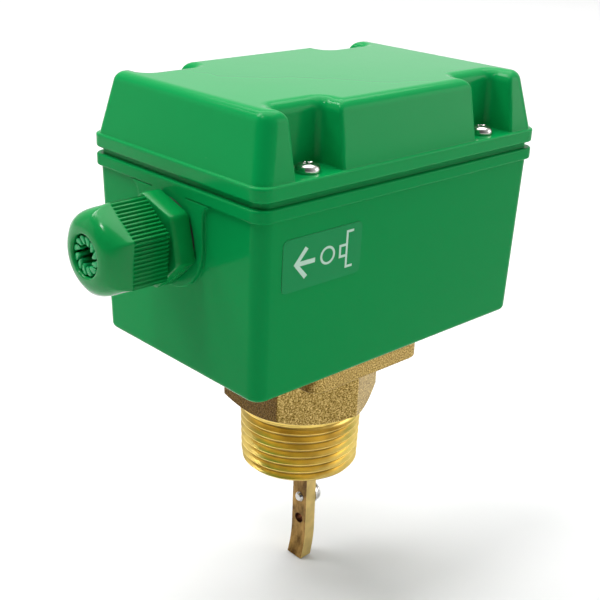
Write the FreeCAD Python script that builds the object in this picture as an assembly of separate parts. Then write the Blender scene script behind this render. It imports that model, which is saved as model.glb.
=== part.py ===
"""Paddle flow switch for a 1 inch pipe tee.

A moulded housing with a screwed lid and a cable gland sits on a cast brass body
with a tapered-pipe-size thread. A paddle arm swings on a pin in the body, its rod
passes up through a bellows and a trip lever on it works a snap switch.

Frame: the origin is on the thread axis at the shoulder where the thread meets the
hexagon, +Z points up through the housing, and -X is the flow direction and the side
of the cable gland. Millimetres.
"""
import FreeCAD, Part
import os
import math

from FreeCAD import Vector, Placement, Rotation

# ---------------------------------------------------------------- brass body
thread_r = 16.62            # major radius of the 1 inch pipe thread
thread_l = 18.1
thread_chamfer = 1.0
hexagon_af = 37.0           # across flats, the flats face +X and -X
hexagon_h = 15.8
hexagon_shoulder_r = 16.9   # where the 30 degree bevel under the hexagon starts
hexagon_bevel = 30.0
plate_l = 38.8              # flange plate under the housing, along X
plate_w = 50.0
plate_t = 6.0
plate_corner_r = 4.0
casting_edge_r = 0.6        # edges of the plate and the hexagon as cast
spigot_r = 10.5             # round boss that passes through the housing floor
spigot_h = 5.7
wet_bore_r = 10.0           # open to the pipe
wet_bore_top_z = 12.5
neck_bore_r = 4.6           # the lever rod passes through here
plate_gasket_t = 0.8
plate_gasket_set_in = 1.2

# ------------------------------------------------------------------- housing
housing_x = 4.0             # housing centre, measured from the thread axis
housing_l = 95.4            # over the rim band
housing_w = 63.3
corner_r = 3.6
base_h = 46.3               # underside to rim top
end_draft = 0.7             # the walls lean in this far from rim to underside
side_draft = 1.15
rim_h = 3.0
wall_set_in = 0.85          # the walls stand in this far under the rim band
wall_t = 2.6
floor_t = 3.0
bottom_edge_r = 1.6
rim_edge_r = 0.5            # moulded edge of the rim, the lid flange and the gland pad
tongue_set_in = 1.3         # sealing tongue on the rim, from the outside
tongue_t = 1.2
tongue_h = 2.3
seam_h = 1.55               # shadow gap between rim and lid flange

# ----------------------------------------------------------------------- lid
flange_h = 3.4
lid_rise = 14.8             # top of the lid above its flange
lid_foot_set_in = 0.7
lid_end_lean = 3.4          # the lid's walls lean in this far from foot to top
lid_side_lean = 2.65
lid_edge_r = 3.0            # round the top and the pockets' mouths alike
pocket_mouth_r = 0.6
lid_wall_t = 2.4
groove_clear = 0.25         # lid groove to tongue, each side
lid_gasket_h = 1.2
pocket_w = 14.2             # screw pockets, open to the long sides
pocket_depth = 8.95         # from the long side of the rim to their back wall
pocket_corner_r = 2.0
pocket_draft = 1.5
pocket_overshoot = 2.0      # the pocket's cutting form stands this far over the lid
lid_screw_end_in = 17.7     # screw axes, in from the short sides
lid_screw_side_in = 4.85    # and from the long sides
lid_screw_l = 14.0
lid_screw_r = 1.5
lid_screw_head_r = 2.8
lid_screw_head_h = 2.1
post_r = 4.3
post_l = 24.0
post_sole_t = 3.0
post_hole_r = 1.7
insert_r = 2.1              # threaded brass inserts in the posts
insert_l = 6.0
lid_hole_clear = 0.1        # radial, lid screws in the flange
skirt_t = 1.3               # lid wall inside the gasket groove

# --------------------------------------------------------------- cable gland
gland_z = 55.6              # axis height
pad_half_w = 12.2           # raised pad on the wall behind the gland
pad_flare_r = 3.0
gland_thread_r = 7.6
gland_tail_l = 12.0
gland_bore_r = 5.4
gland_flange_r = 10.4
gland_flange_t = 0.7
gland_hex_af = 19.4
gland_hex_l = 4.6
gland_hex_turn = 14.0       # how far the hexagon is turned from corners up
gland_hex_r = 1.2           # its rounded corners
gland_neck_r = 7.4
gland_neck_l = 8.6
gland_washer_r = 9.9
gland_washer_t = 0.5
locknut_af = 19.0
locknut_t = 3.6
nut_r = 9.75                # domed clamping nut
nut_gap = 0.8               # nut to hexagon, as tightened
nut_l = 16.2
nut_mouth_r = 4.75
nut_rib_l = 9.8
nut_rib_count = 44
nut_rib_h = 0.35
nut_nose_w = 2.0            # flat ring round the mouth
nut_nose_edge = 0.4
nut_mouth_l = 1.2
nut_cone_l = 3.5
clamp_fingers = 12
clamp_ring_r = 6.4
clamp_slit_w = 0.5
clamp_root_l = 2.2          # unslit end of the ring
clamp_set_back = 1.0        # finger tips behind the nut's face
clamp_bore_clear = 0.35     # fingers to the seal's bore
clamp_nut_clear = 0.5       # fingers to the nut's cone
clamp_tip_clear = 0.25      # finger tips to the nut's mouth
locknut_gap = 0.6           # behind the wall's draft
seal_bore_r = 3.0
seal_l = 9.0

# ------------------------------------------------------- paddle arm and lever
pivot_z = 8.0
pivot_pin_r = 1.5
running_clear = 0.05        # radial, pin in the arm's hub and screw in its nut
yoke_h = 8.5
yoke_wall_t = 2.4
pin_end_gap = 0.5
hub_neck_t = 0.9            # neck wall round the rod's socket
arm_x = 3.15                # the arm hangs this far off the thread axis
arm_t = 4.4
arm_w = 5.6
arm_end_z = -52.0
arm_bend_r = 35.0           # the tip curls towards the flow direction
arm_bend_l = 9.6
arm_hub_r = 4.6
arm_jog_z = -12.0           # the bar steps across to the hub above this height
paddle_hole_r = 1.5
paddle_hole_z = -32.8       # upper hole, which holds the paddle screw
paddle_hole_step = 7.1
paddle_head_r = 2.85
paddle_head_h = 1.5
paddle_washer_r = 3.2
paddle_washer_t = 0.5
paddle_screw_proud = 1.6
rod_r = 2.4
rod_socket_l = 3.5          # rod end inside the arm's hub
bellows_r = 7.6
bellows_bore_r = 4.75
bellows_h = 10.0
bellows_folds = 5
bellows_wall_t = 0.4
bellows_gap = 0.5           # the cap's free gap, so that it can tilt
cap_r = 5.7
cap_h = 4.0
lever_t = 1.5
lever_back_l = 19.0         # trip lever, towards the gland
lever_front_l = 8.0         # and towards the switch
lever_w = 13.0
lever_tab_h = 9.5
lever_tab_y = 9.2           # far edge of the tab that meets the plunger
lever_step = 0.8            # rod nut to the wider end of the lever
rod_nut_af = 8.0
rod_nut_h = 4.0
rod_proud = 1.0

# ------------------------------------------------------------------ mechanism
bracket_t = 1.5
bracket_foot_l = 46.0
bracket_foot_w = 44.0
bracket_foot_x = 5.0
bracket_wall_y = 10.0       # inner face of the upright wall
bracket_h = 40.0
bracket_corner_r = 5.0
bracket_foot_r = 3.0
spigot_clear = 0.4          # bracket to spigot
bracket_tongue_l = 10.0     # top tongue that holds the range screw
body_screw_x = 13.2
body_screw_y = 17.5
body_screw_r = 2.0
body_screw_head_r = 3.7
body_screw_head_h = 2.4
body_screw_l = 10.0
ground_screw_x = 23.0
ground_screw_y = -14.0
ground_clamp_t = 1.0
ground_clamp_lip = 0.6
range_screw_x = -13.0
range_screw_r = 2.0
range_head_r = 3.6
range_head_h = 2.6
range_screw_l = 15.0
screw_clip_r = 3.6
screw_clip_t = 0.7
range_turns = 7
range_pitch = 0.7
spring_nut_z = 57.0
spring_nut_t = 2.5
spring_nut_w = 11.0
spring_nut_corner_r = 1.5
spring_key_w = 5.0
spring_key_root = 1.0
key_clear = 0.1             # key in the bracket's slot, each side
slot_overrun = 1.0
clip_clear = 0.05
spring_wire_r = 0.45
spring_r = 4.1              # mean radius
spring_turns = 6
spring_runs = 20            # straight runs to a turn
spring_end_gap = 0.05
switch_l = 27.8             # snap switch, stood on end
switch_d = 15.9
switch_t = 10.3
switch_z = 36.6
switch_hole_r = 1.55
switch_hole_step = 22.2
switch_hole_in = 4.6        # holes from the switch's back
switch_edge_r = 1.2
switch_head_r = 2.8
switch_head_h = 1.9
screw_proud = 1.2           # screw ends behind the bracket and the blades
plunger_r = 1.3
plunger_w = 3.4
plunger_z = 46.0
plunger_gap = 0.3           # lever tab to plunger tip at rest
plunger_proud = 2.9
plunger_seat = 4.0
plunger_clear = 0.1
plunger_root = 0.8          # plunger inside the switch at rest
plunger_tip_r = 0.5
terminal_w = 6.3
terminal_t = 0.8
terminal_l = 8.0
terminal_step = 9.0
terminal_screw_r = 1.7
terminal_head_r = 3.0
terminal_head_h = 2.0

# ------------------------------------------------------------ direction label
label_l = 24.3
label_h = 12.5
label_end_in = 7.55         # from the housing's end to the label's edge
label_z = 54.7
label_t = 0.15
label_corner_r = 1.4

# --------------------------------------------------------------- worked-out sizes
plate_top_z = hexagon_h + plate_t
spigot_top_z = plate_top_z + spigot_h
base_z = plate_top_z + plate_gasket_t
floor_z = base_z + floor_t
rim_z = base_z + base_h
flange_z = rim_z + seam_h
flange_top_z = flange_z + flange_h
lid_top_z = flange_top_z + lid_rise
wall_top_l = housing_l - 2 * wall_set_in
wall_top_w = housing_w - 2 * wall_set_in
bottom_l = wall_top_l - 2 * end_draft
bottom_w = wall_top_w - 2 * side_draft
lid_foot_l = housing_l - 2 * lid_foot_set_in
lid_foot_w = housing_w - 2 * lid_foot_set_in
lid_top_l = lid_foot_l - 2 * lid_end_lean
lid_top_w = lid_foot_w - 2 * lid_side_lean
pocket_floor_y = housing_w / 2 - pocket_depth
lid_screw_x = housing_l / 2 - lid_screw_end_in
lid_screw_y = housing_w / 2 - lid_screw_side_in
wall_top_z = rim_z - rim_h
tongue_top_z = rim_z + tongue_h
pad_x = housing_x - housing_l / 2
label_x = pad_x + label_end_in + label_l / 2
bracket_z = floor_z + bracket_t
bracket_top_z = bracket_z + bracket_h
bellows_top_z = spigot_top_z + bellows_h
cap_z = bellows_top_z + bellows_gap
lever_z = cap_z + cap_h
lever_top_z = lever_z + lever_t
arm_face_x = arm_x + arm_t / 2
tab_face_x = lever_front_l
switch_face_x = tab_face_x + plunger_gap + plunger_proud
gland_seat_x = pad_x - gland_washer_t
gland_hex_x = gland_seat_x - gland_flange_t
gland_neck_x = gland_hex_x - gland_hex_l
nut_back_x = gland_neck_x - nut_gap
nut_front_x = nut_back_x - nut_l
lid_screw_places = [(housing_x + i * lid_screw_x, j * lid_screw_y)
                    for i in (-1, 1) for j in (-1, 1)]
switch_low_y = bracket_wall_y - switch_t
switch_plunger_y = bracket_wall_y - switch_t / 2
switch_hole_places = [(switch_face_x + switch_d - switch_hole_in,
                       switch_z + switch_l / 2 + side * switch_hole_step / 2) for side in (-1, 1)]
spring_nut_low_z = spring_nut_z - range_turns * range_pitch
body_screw_places = [(i * body_screw_x, j * body_screw_y) for i in (-1, 1) for j in (-1, 1)]

X = Vector(1, 0, 0)
Y = Vector(0, 1, 0)
Z = Vector(0, 0, 1)


# ------------------------------------------------------------------ shape tools
def cylinder(r, length, start, along=Z):
    return Part.makeCylinder(r, length, Vector(*start), along)


def tube(outer, inner, length, start, along=Z):
    return cylinder(outer, length, start, along).cut(cylinder(inner, length, start, along))


def block(low, high):
    size = [b - a for a, b in zip(low, high)]
    return Part.makeBox(*size, Vector(*low))


def rounded_outline(length, width, radius, z, x=0.0, y=0.0):
    """Closed wire of a rectangle with round corners, level at height z."""
    corners = []
    for i, j, start in [(1, -1, -90), (1, 1, 0), (-1, 1, 90), (-1, -1, 180)]:
        centre = Vector(x + i * (length / 2 - radius), y + j * (width / 2 - radius), z)
        corners.append([centre + Vector(math.cos(math.radians(start + turn)),
                                        math.sin(math.radians(start + turn)), 0) * radius
                        for turn in (0, 45, 90)])
    edges = []
    for n, points in enumerate(corners):
        edges.append(Part.Arc(*points).toShape())
        edges.append(Part.LineSegment(points[2], corners[(n + 1) % 4][0]).toShape())
    return Part.Wire(edges)


def tapered(low, high, radius, x=0.0, y=0.0):
    """Flat-sided solid with round upright edges, between two (length, width, z) ends."""
    wedge = Part.makeWedge(-low[0] / 2, 0, -low[1] / 2, -high[1] / 2, -high[0] / 2,
                           low[0] / 2, high[2] - low[2], low[1] / 2, high[1] / 2, high[0] / 2)
    wedge.Placement = Placement(Vector(x, y, low[2]), Rotation(X, 90))
    upright = [e for e in wedge.Edges if e.BoundBox.ZLength > 1e-3]
    return wedge.makeFillet(radius, upright)


def level_edges(solid, *heights):
    """The edges that lie level at one of the heights."""
    return [e for e in solid.Edges for z in heights
            if abs(e.BoundBox.ZMin - z) < 1e-6 and abs(e.BoundBox.ZMax - z) < 1e-6]


def rounded_block(length, width, radius, z, height, x=0.0, y=0.0):
    face = Part.Face(rounded_outline(length, width, radius, z, x, y))
    return face.extrude(Z * height)


def hexagon_prism(across_flats, length, start, along=Z, turn=0.0):
    """Hexagon with its corners on the local X axis, turned about its own axis."""
    r = across_flats / math.sqrt(3)
    points = [Vector(r * math.cos(math.radians(60 * n + turn)),
                     r * math.sin(math.radians(60 * n + turn)), 0) for n in range(7)]
    prism = Part.Face(Part.makePolygon(points)).extrude(Z * length)
    prism.Placement = Placement(Vector(*start), Rotation(Z, along))
    return prism


def profile(points, thickness, y):
    """Outline in the XZ plane, extruded along +Y from y."""
    wire = Part.makePolygon([Vector(a, y, b) for a, b in points + points[:1]])
    return Part.Face(wire).extrude(Y * thickness)


def turned(points, axis_point, along):
    """Solid of revolution: points are (distance along the axis, radius)."""
    wire = Part.makePolygon([Vector(r, 0, a) for a, r in points + points[:1]])
    solid = Part.Face(wire).revolve(Vector(0, 0, 0), Z, 360)
    solid.Placement = Placement(Vector(*axis_point), Rotation(Z, along))
    return solid


def fused(shapes):
    first = shapes[0]
    return first.multiFuse(shapes[1:]).removeSplitter() if len(shapes) > 1 else first


def pan_screw(r, length, head_r, head_h, seat, down):
    """Pan-head screw: seat is the point under the head, down the way the shank goes."""
    crown = head_h * 0.35
    head = turned([(0, 0), (0, head_r), (-(head_h - crown), head_r * 0.96),
                   (-head_h, head_r * 0.62), (-head_h, 0)], seat, down)
    return head.fuse(cylinder(r, length, seat, down)).removeSplitter()


# ------------------------------------------------------------------- brass body
def make_brass_body():
    shank = cylinder(thread_r, thread_l, (0, 0, -thread_l))
    ring = [e for e in shank.Edges if abs(e.BoundBox.ZMax + thread_l) < 1e-6 and e.Length > thread_r]
    shank = shank.makeChamfer(thread_chamfer, ring)
    hexagon = hexagon_prism(hexagon_af, hexagon_h, (0, 0, 0), turn=90.0)
    hexagon = hexagon.makeFillet(casting_edge_r, [e for e in hexagon.Edges
                                                  if e.BoundBox.ZLength > hexagon_h / 2])
    reach = hexagon_af
    rise = (reach - hexagon_shoulder_r) * math.tan(math.radians(hexagon_bevel))
    bevel = turned([(0, 0), (0, hexagon_shoulder_r), (rise, reach), (hexagon_h + rise, reach),
                    (hexagon_h + rise, 0)], (0, 0, 0), Z)
    hexagon = hexagon.common(bevel)
    plate = rounded_block(plate_l, plate_w, plate_corner_r, hexagon_h, plate_t)
    plate = plate.makeFillet(casting_edge_r, level_edges(plate, hexagon_h))
    spigot = cylinder(spigot_r, spigot_h, (0, 0, plate_top_z))
    body = fused([shank, hexagon, plate, spigot])
    body = body.cut(cylinder(wet_bore_r, thread_l + wet_bore_top_z, (0, 0, -thread_l)))
    body = body.cut(cylinder(neck_bore_r, spigot_top_z, (0, 0, 0)))
    for x, y in body_screw_places:
        tip_z = bracket_z - body_screw_l
        body = body.cut(cylinder(body_screw_r, plate_top_z - tip_z, (x, y, tip_z)))
    return body


def make_plate_gasket():
    sheet = rounded_block(plate_l - 2 * plate_gasket_set_in, plate_w - 2 * plate_gasket_set_in,
                          plate_corner_r, plate_top_z, plate_gasket_t)
    sheet = sheet.cut(cylinder(spigot_r, plate_gasket_t, (0, 0, plate_top_z)))
    for x, y in body_screw_places:
        sheet = sheet.cut(cylinder(body_screw_r, plate_gasket_t, (x, y, plate_top_z)))
    return sheet


# ------------------------------------------------------------------ base housing
def base_envelope(grow=0.0):
    return tapered((bottom_l + 2 * grow, bottom_w + 2 * grow, base_z),
                   (wall_top_l + 2 * grow, wall_top_w + 2 * grow, wall_top_z), corner_r, housing_x)


def gland_pad():
    """Raised seat for the gland: round below the axis, straight up to the rim, with flares."""
    thick = wall_set_in + wall_t
    round_end = cylinder(pad_half_w, thick, (pad_x, 0, gland_z), X)
    upright = block((pad_x, -pad_half_w, gland_z), (pad_x + thick, pad_half_w, wall_top_z))
    pieces = [round_end, upright]
    for side in (-1, 1):
        y = side * pad_half_w
        flare = block((pad_x, min(y, y + side * pad_flare_r), wall_top_z - pad_flare_r),
                      (pad_x + thick, max(y, y + side * pad_flare_r), wall_top_z))
        round_cut = cylinder(pad_flare_r, thick,
                             (pad_x, y + side * pad_flare_r, wall_top_z - pad_flare_r), X)
        pieces.append(flare.cut(round_cut))
    pad = fused(pieces)
    front = [e for e in pad.Edges if e.BoundBox.XMax < pad_x + 1e-6
             and e.CenterOfMass.z < wall_top_z - 1e-6]
    return pad.makeFillet(rim_edge_r / 2, front)


def make_base_housing():
    outer = base_envelope()
    ring = [e for e in outer.Edges if e.BoundBox.ZMax < base_z + 1e-6]
    outer = outer.makeFillet(bottom_edge_r, ring)
    rim = rounded_block(housing_l, housing_w, corner_r, wall_top_z, rim_h, housing_x)
    rim = rim.makeFillet(rim_edge_r, level_edges(rim, wall_top_z, rim_z))
    shell = fused([outer, rim, gland_pad()])
    shell = shell.cut(tapered((bottom_l - 2 * wall_t, bottom_w - 2 * wall_t, floor_z),
                              (wall_top_l - 2 * wall_t, wall_top_w - 2 * wall_t, rim_z),
                              corner_r - wall_t / 2, housing_x))
    tongue_l = housing_l - 2 * tongue_set_in
    tongue_w = housing_w - 2 * tongue_set_in
    tongue_root = rim_z - tongue_h
    tongue = rounded_block(tongue_l, tongue_w, corner_r - tongue_set_in / 2, tongue_root,
                           tongue_top_z - tongue_root, housing_x)
    tongue = tongue.cut(rounded_block(tongue_l - 2 * tongue_t, tongue_w - 2 * tongue_t,
                                      corner_r - tongue_set_in / 2 - tongue_t / 2, tongue_root,
                                      tongue_top_z - tongue_root, housing_x))
    inner_limit = rounded_block(tongue_l - 2 * tongue_t, tongue_w - 2 * tongue_t,
                                corner_r - tongue_set_in / 2 - tongue_t / 2,
                                flange_z - post_l, post_l, housing_x)
    posts = []
    for x, y in lid_screw_places:
        post = cylinder(post_r, post_l, (x, y, flange_z - post_l))
        posts.append(post.common(inner_limit))
    shell = fused([shell, tongue] + posts)
    for x, y in lid_screw_places:
        shell = shell.cut(cylinder(insert_r, insert_l, (x, y, flange_z - insert_l)))
        shell = shell.cut(cylinder(post_hole_r, post_l - post_sole_t,
                                   (x, y, flange_z - post_l + post_sole_t)))
    shell = shell.cut(cylinder(spigot_r, floor_t, (0, 0, base_z)))
    for x, y in body_screw_places:
        shell = shell.cut(cylinder(body_screw_r, floor_t, (x, y, base_z)))
    gland_hole = cylinder(gland_thread_r, gland_tail_l, (pad_x, 0, gland_z), X)
    return shell.cut(gland_hole)


def make_lid_inserts():
    return [tube(insert_r, lid_screw_r + running_clear, insert_l, (x, y, flange_z - insert_l))
            for x, y in lid_screw_places]


# -------------------------------------------------------------------------- lid
def pocket(x, side, grow=0.0):
    """Screw pocket as a tapered block that runs out through the long side."""
    outer_y = housing_w / 2 + pocket_w
    mid_y = side * (pocket_floor_y - grow + outer_y) / 2
    depth = outer_y - pocket_floor_y + grow
    high = lid_rise + pocket_overshoot
    spread = high * math.tan(math.radians(pocket_draft))
    width = pocket_w + 2 * grow
    return tapered((width, depth, flange_top_z),
                   (width + 2 * spread, depth + 2 * spread, flange_top_z + high),
                   pocket_corner_r + grow, x, mid_y)


def make_lid():
    dome = tapered((lid_foot_l, lid_foot_w, flange_top_z), (lid_top_l, lid_top_w, lid_top_z), corner_r,
                   housing_x)
    places = [(housing_x + i * lid_screw_x, j) for i in (-1, 1) for j in (-1, 1)]
    for x, side in places:
        dome = dome.cut(pocket(x, side))
    crown = [e for e in dome.Edges if e.BoundBox.ZMin > lid_top_z - 1e-6]
    dome = dome.makeFillet(lid_edge_r, crown)
    mouth_y = pocket_floor_y + lid_edge_r + pocket_corner_r
    mouths = [e for e in dome.Edges if e.BoundBox.ZLength > lid_rise / 2
              and abs(e.CenterOfMass.y) > mouth_y
              and abs(e.CenterOfMass.x - housing_x) < lid_screw_x + pocket_w]
    dome = dome.makeFillet(pocket_mouth_r, mouths)
    flange = rounded_block(housing_l, housing_w, corner_r, flange_z, flange_h, housing_x)
    flange = flange.makeFillet(rim_edge_r, level_edges(flange, flange_z, flange_top_z))
    lid = fused([dome, flange])
    inner_r = corner_r - lid_wall_t / 2
    hollow_l = housing_l - 2 * (tongue_set_in + tongue_t + skirt_t)
    hollow_w = housing_w - 2 * (tongue_set_in + tongue_t + skirt_t)
    hollow = tapered((hollow_l, hollow_w, flange_z),
                     (lid_top_l - 2 * lid_wall_t, lid_top_w - 2 * lid_wall_t,
                      lid_top_z - lid_wall_t), inner_r, housing_x)
    for x, side in places:
        wall = pocket(x, side, lid_wall_t)
        low_y = min(side * (pocket_floor_y - lid_wall_t), side * housing_w)
        high_y = max(side * (pocket_floor_y - lid_wall_t), side * housing_w)
        sole = block((x - pocket_w / 2 - lid_wall_t, low_y, flange_z),
                     (x + pocket_w / 2 + lid_wall_t, high_y, flange_top_z))
        hollow = hollow.cut(wall).cut(sole)
    lid = lid.cut(hollow)
    lid = lid.cut(gasket_channel(groove_clear, flange_z, tongue_top_z + lid_gasket_h))
    for x, y in lid_screw_places:
        lid = lid.cut(cylinder(lid_screw_r + lid_hole_clear, flange_h, (x, y, flange_z)))
    return lid


def gasket_channel(clear, low_z, high_z):
    length = housing_l - 2 * tongue_set_in
    width = housing_w - 2 * tongue_set_in
    r = corner_r - tongue_set_in / 2
    outer = rounded_block(length + 2 * clear, width + 2 * clear, r + clear, low_z,
                          high_z - low_z, housing_x)
    inner = rounded_block(length - 2 * tongue_t - 2 * clear, width - 2 * tongue_t - 2 * clear,
                          r - tongue_t / 2 - clear, low_z, high_z - low_z, housing_x)
    return outer.cut(inner)


def make_lid_gasket():
    return gasket_channel(groove_clear, tongue_top_z, tongue_top_z + lid_gasket_h)


def make_lid_screws():
    return [pan_screw(lid_screw_r, lid_screw_l, lid_screw_head_r, lid_screw_head_h,
                      (x, y, flange_top_z), -Z) for x, y in lid_screw_places]


# ------------------------------------------------------------------ cable gland
def make_gland_body():
    flange = cylinder(gland_flange_r, gland_flange_t, (gland_hex_x, 0, gland_z), X)
    hexagon = hexagon_prism(gland_hex_af, gland_hex_l, (gland_neck_x, 0, gland_z), X,
                            turn=gland_hex_turn)
    hexagon = hexagon.makeFillet(gland_hex_r, [e for e in hexagon.Edges
                                               if e.BoundBox.XLength > gland_hex_l / 2])
    neck = cylinder(gland_neck_r, gland_neck_l, (gland_neck_x - gland_neck_l, 0, gland_z), X)
    tail_end = pad_x + gland_tail_l
    tail = cylinder(gland_thread_r, tail_end - gland_hex_x, (gland_hex_x, 0, gland_z), X)
    body = fused([flange, hexagon, neck, tail])
    return body.cut(cylinder(gland_bore_r, tail_end - gland_neck_x + gland_neck_l,
                             (gland_neck_x - gland_neck_l, 0, gland_z), X))


def make_gland_washer():
    return tube(gland_washer_r, gland_thread_r, gland_washer_t, (gland_seat_x, 0, gland_z), X)


def make_gland_locknut():
    wall_x = pad_x + wall_set_in + wall_t + locknut_gap
    nut = hexagon_prism(locknut_af, locknut_t, (wall_x, 0, gland_z), X, turn=gland_hex_turn)
    return nut.cut(cylinder(gland_thread_r, locknut_t, (wall_x, 0, gland_z), X))


def make_gland_seal():
    start = gland_neck_x - gland_neck_l
    return tube(gland_bore_r, seal_bore_r, seal_l, (start, 0, gland_z), X)


def ribbed_barrel(r, start_x, length):
    """Barrel with straight grip ribs all round, as an extruded star outline."""
    points = []
    step = 360.0 / nut_rib_count
    for n in range(nut_rib_count):
        for share, radius in ((0.0, r - nut_rib_h), (0.3, r), (0.7, r)):
            turn = math.radians((n + share) * step)
            points.append(Vector(start_x, radius * math.cos(turn), gland_z + radius * math.sin(turn)))
    return Part.Face(Part.makePolygon(points + points[:1])).extrude(X * length)


def make_gland_nut():
    dome_l = nut_l - nut_rib_l
    nose_r = nut_mouth_r + nut_nose_w
    share = math.sqrt(0.5)
    middle = Vector(nose_r + (nut_r - nose_r) * share, 0, dome_l * (1 - share))
    outline = [Vector(0, 0, 0), Vector(nose_r - nut_nose_edge, 0, 0), Vector(nose_r, 0, nut_nose_edge / 2)]
    edges = [Part.LineSegment(a, b).toShape() for a, b in zip(outline, outline[1:])]
    edges.append(Part.Arc(outline[-1], middle, Vector(nut_r, 0, dome_l)).toShape())
    closing = [Vector(nut_r, 0, dome_l), Vector(0, 0, dome_l), outline[0]]
    edges += [Part.LineSegment(a, b).toShape() for a, b in zip(closing, closing[1:])]
    dome = Part.Face(Part.Wire(edges)).revolve(Vector(0, 0, 0), Z, 360)
    dome.Placement = Placement(Vector(nut_front_x, 0, gland_z), Rotation(Z, X))
    barrel = ribbed_barrel(nut_r, nut_front_x + dome_l, nut_rib_l)
    nut = fused([dome, barrel])
    bore_r = gland_neck_r + running_clear
    cone_r = clamp_ring_r + clamp_nut_clear
    back_l = nut_l - gland_neck_l + nut_gap
    bore = turned([(0, 0), (0, nut_mouth_r), (nut_mouth_l, nut_mouth_r),
                   (nut_mouth_l + nut_cone_l, cone_r), (back_l, cone_r), (back_l, bore_r),
                   (nut_l, bore_r), (nut_l, 0)],
                  (nut_front_x, 0, gland_z), X)
    return nut.cut(bore)


def make_gland_clamp():
    """Ring of slit fingers that the nut squeezes onto the cable."""
    start = nut_front_x + clamp_set_back
    length = gland_neck_x - gland_neck_l - start
    inner_r = seal_bore_r + clamp_bore_clear
    tip_r = nut_mouth_r - clamp_tip_clear
    ring = turned([(0, inner_r), (0, tip_r), (nut_mouth_l, tip_r), (nut_cone_l, clamp_ring_r),
                   (length, clamp_ring_r), (length, inner_r)], (start, 0, gland_z), X)
    half = clamp_slit_w / 2
    slit_l = length - clamp_root_l
    for n in range(clamp_fingers):
        slit = block((start, seal_bore_r, -half), (start + slit_l, nut_r, half))
        slit.rotate(Vector(0, 0, 0), X, 360.0 * n / clamp_fingers)
        slit.translate(Vector(0, 0, gland_z))
        ring = ring.cut(slit)
    return ring


# ------------------------------------------------------- paddle arm and its lever
def make_pivot_yoke():
    """Ring pressed into the wet bore, slotted for the arm, that holds the pivot pin."""
    low_z = pivot_z - yoke_h / 2
    ring = tube(wet_bore_r, wet_bore_r - yoke_wall_t, yoke_h, (0, 0, low_z))
    return ring.cut(cylinder(pivot_pin_r, 2 * wet_bore_r, (0, -wet_bore_r, pivot_z), Y))


def make_pivot_pin():
    half = wet_bore_r - pin_end_gap
    return cylinder(pivot_pin_r, 2 * half, (0, -half, pivot_z), Y)


def make_paddle_arm():
    half = arm_t / 2
    straight_z = arm_end_z + arm_bend_l
    bar = profile([(arm_x - half, straight_z), (arm_x + half, straight_z),
                   (arm_x + half, arm_jog_z), (half, arm_jog_z + 2 * arm_x),
                   (half, pivot_z), (-half, pivot_z),
                   (-half, arm_jog_z + 2 * arm_x + half), (arm_x - half, arm_jog_z + half)],
                  arm_w, -arm_w / 2)
    bend_x = arm_x - arm_bend_r
    sector = tube(arm_bend_r + half, arm_bend_r - half, arm_w, (bend_x, -arm_w / 2, straight_z), Y)
    tip = sector.common(block((arm_x - arm_bend_r, -arm_w, arm_end_z),
                              (arm_x + arm_t, arm_w, straight_z)))
    hub = cylinder(arm_hub_r, arm_w, (0, -arm_w / 2, pivot_z), Y)
    neck = cylinder(rod_r + hub_neck_t, arm_hub_r + rod_socket_l, (0, 0, pivot_z))
    arm = fused([bar, tip, hub, neck])
    arm = arm.cut(cylinder(pivot_pin_r + running_clear, 2 * arm_w, (0, -arm_w, pivot_z), Y))
    arm = arm.cut(cylinder(rod_r, rod_socket_l, (0, 0, pivot_z + arm_hub_r)))
    for n in range(2):
        place = (arm_x - arm_t, 0, paddle_hole_z - n * paddle_hole_step)
        arm = arm.cut(cylinder(paddle_hole_r, 2 * arm_t, place, X))
    return arm


def make_paddle_screw():
    seat = (arm_face_x + paddle_washer_t, 0, paddle_hole_z)
    length = paddle_washer_t + arm_t + paddle_screw_proud
    return pan_screw(paddle_hole_r, length, paddle_head_r, paddle_head_h, seat, -X)


def make_paddle_washer():
    return tube(paddle_washer_r, paddle_hole_r, paddle_washer_t, (arm_face_x, 0, paddle_hole_z), X)


def make_lever_rod():
    foot_z = pivot_z + arm_hub_r
    top_z = lever_top_z + rod_nut_h + rod_proud
    return cylinder(rod_r, top_z - foot_z, (0, 0, foot_z))


def make_bellows():
    """Thin folded sleeve as one turned profile, soldered to the spigot."""
    fold = bellows_h / bellows_folds
    outside = []
    for n in range(bellows_folds):
        z = n * fold
        outside += [(z, bellows_bore_r + bellows_wall_t), (z + fold / 2, bellows_r)]
    outside.append((bellows_h, bellows_bore_r + bellows_wall_t))
    inside = [(a, b - bellows_wall_t) for a, b in outside]
    return turned(outside + inside[::-1], (0, 0, spigot_top_z), Z)


def make_bellows_cap():
    return tube(cap_r, rod_r, cap_h, (0, 0, cap_z))


def make_trip_lever():
    sheet = block((-lever_back_l, -lever_w / 2, lever_z), (lever_front_l, lever_w / 2, lever_top_z))
    front = block((rod_nut_af / 2 + lever_step, -lever_w / 2, lever_z),
                  (lever_front_l, lever_tab_y, lever_top_z))
    tab = block((lever_front_l - lever_t, switch_plunger_y - plunger_w, lever_z),
                (lever_front_l, lever_tab_y, lever_top_z + lever_tab_h))
    lever = fused([sheet, front, tab])
    corners = [e for e in lever.Edges
               if e.BoundBox.ZLength > lever_t - 1e-6 and e.BoundBox.XMax < 1e-6 - lever_back_l]
    lever = lever.makeFillet(lever_w / 3, corners)
    return lever.cut(cylinder(rod_r, lever_t, (0, 0, lever_z)))


def make_rod_nut():
    nut = hexagon_prism(rod_nut_af, rod_nut_h, (0, 0, lever_top_z))
    return nut.cut(cylinder(rod_r, rod_nut_h, (0, 0, lever_top_z)))


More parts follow.
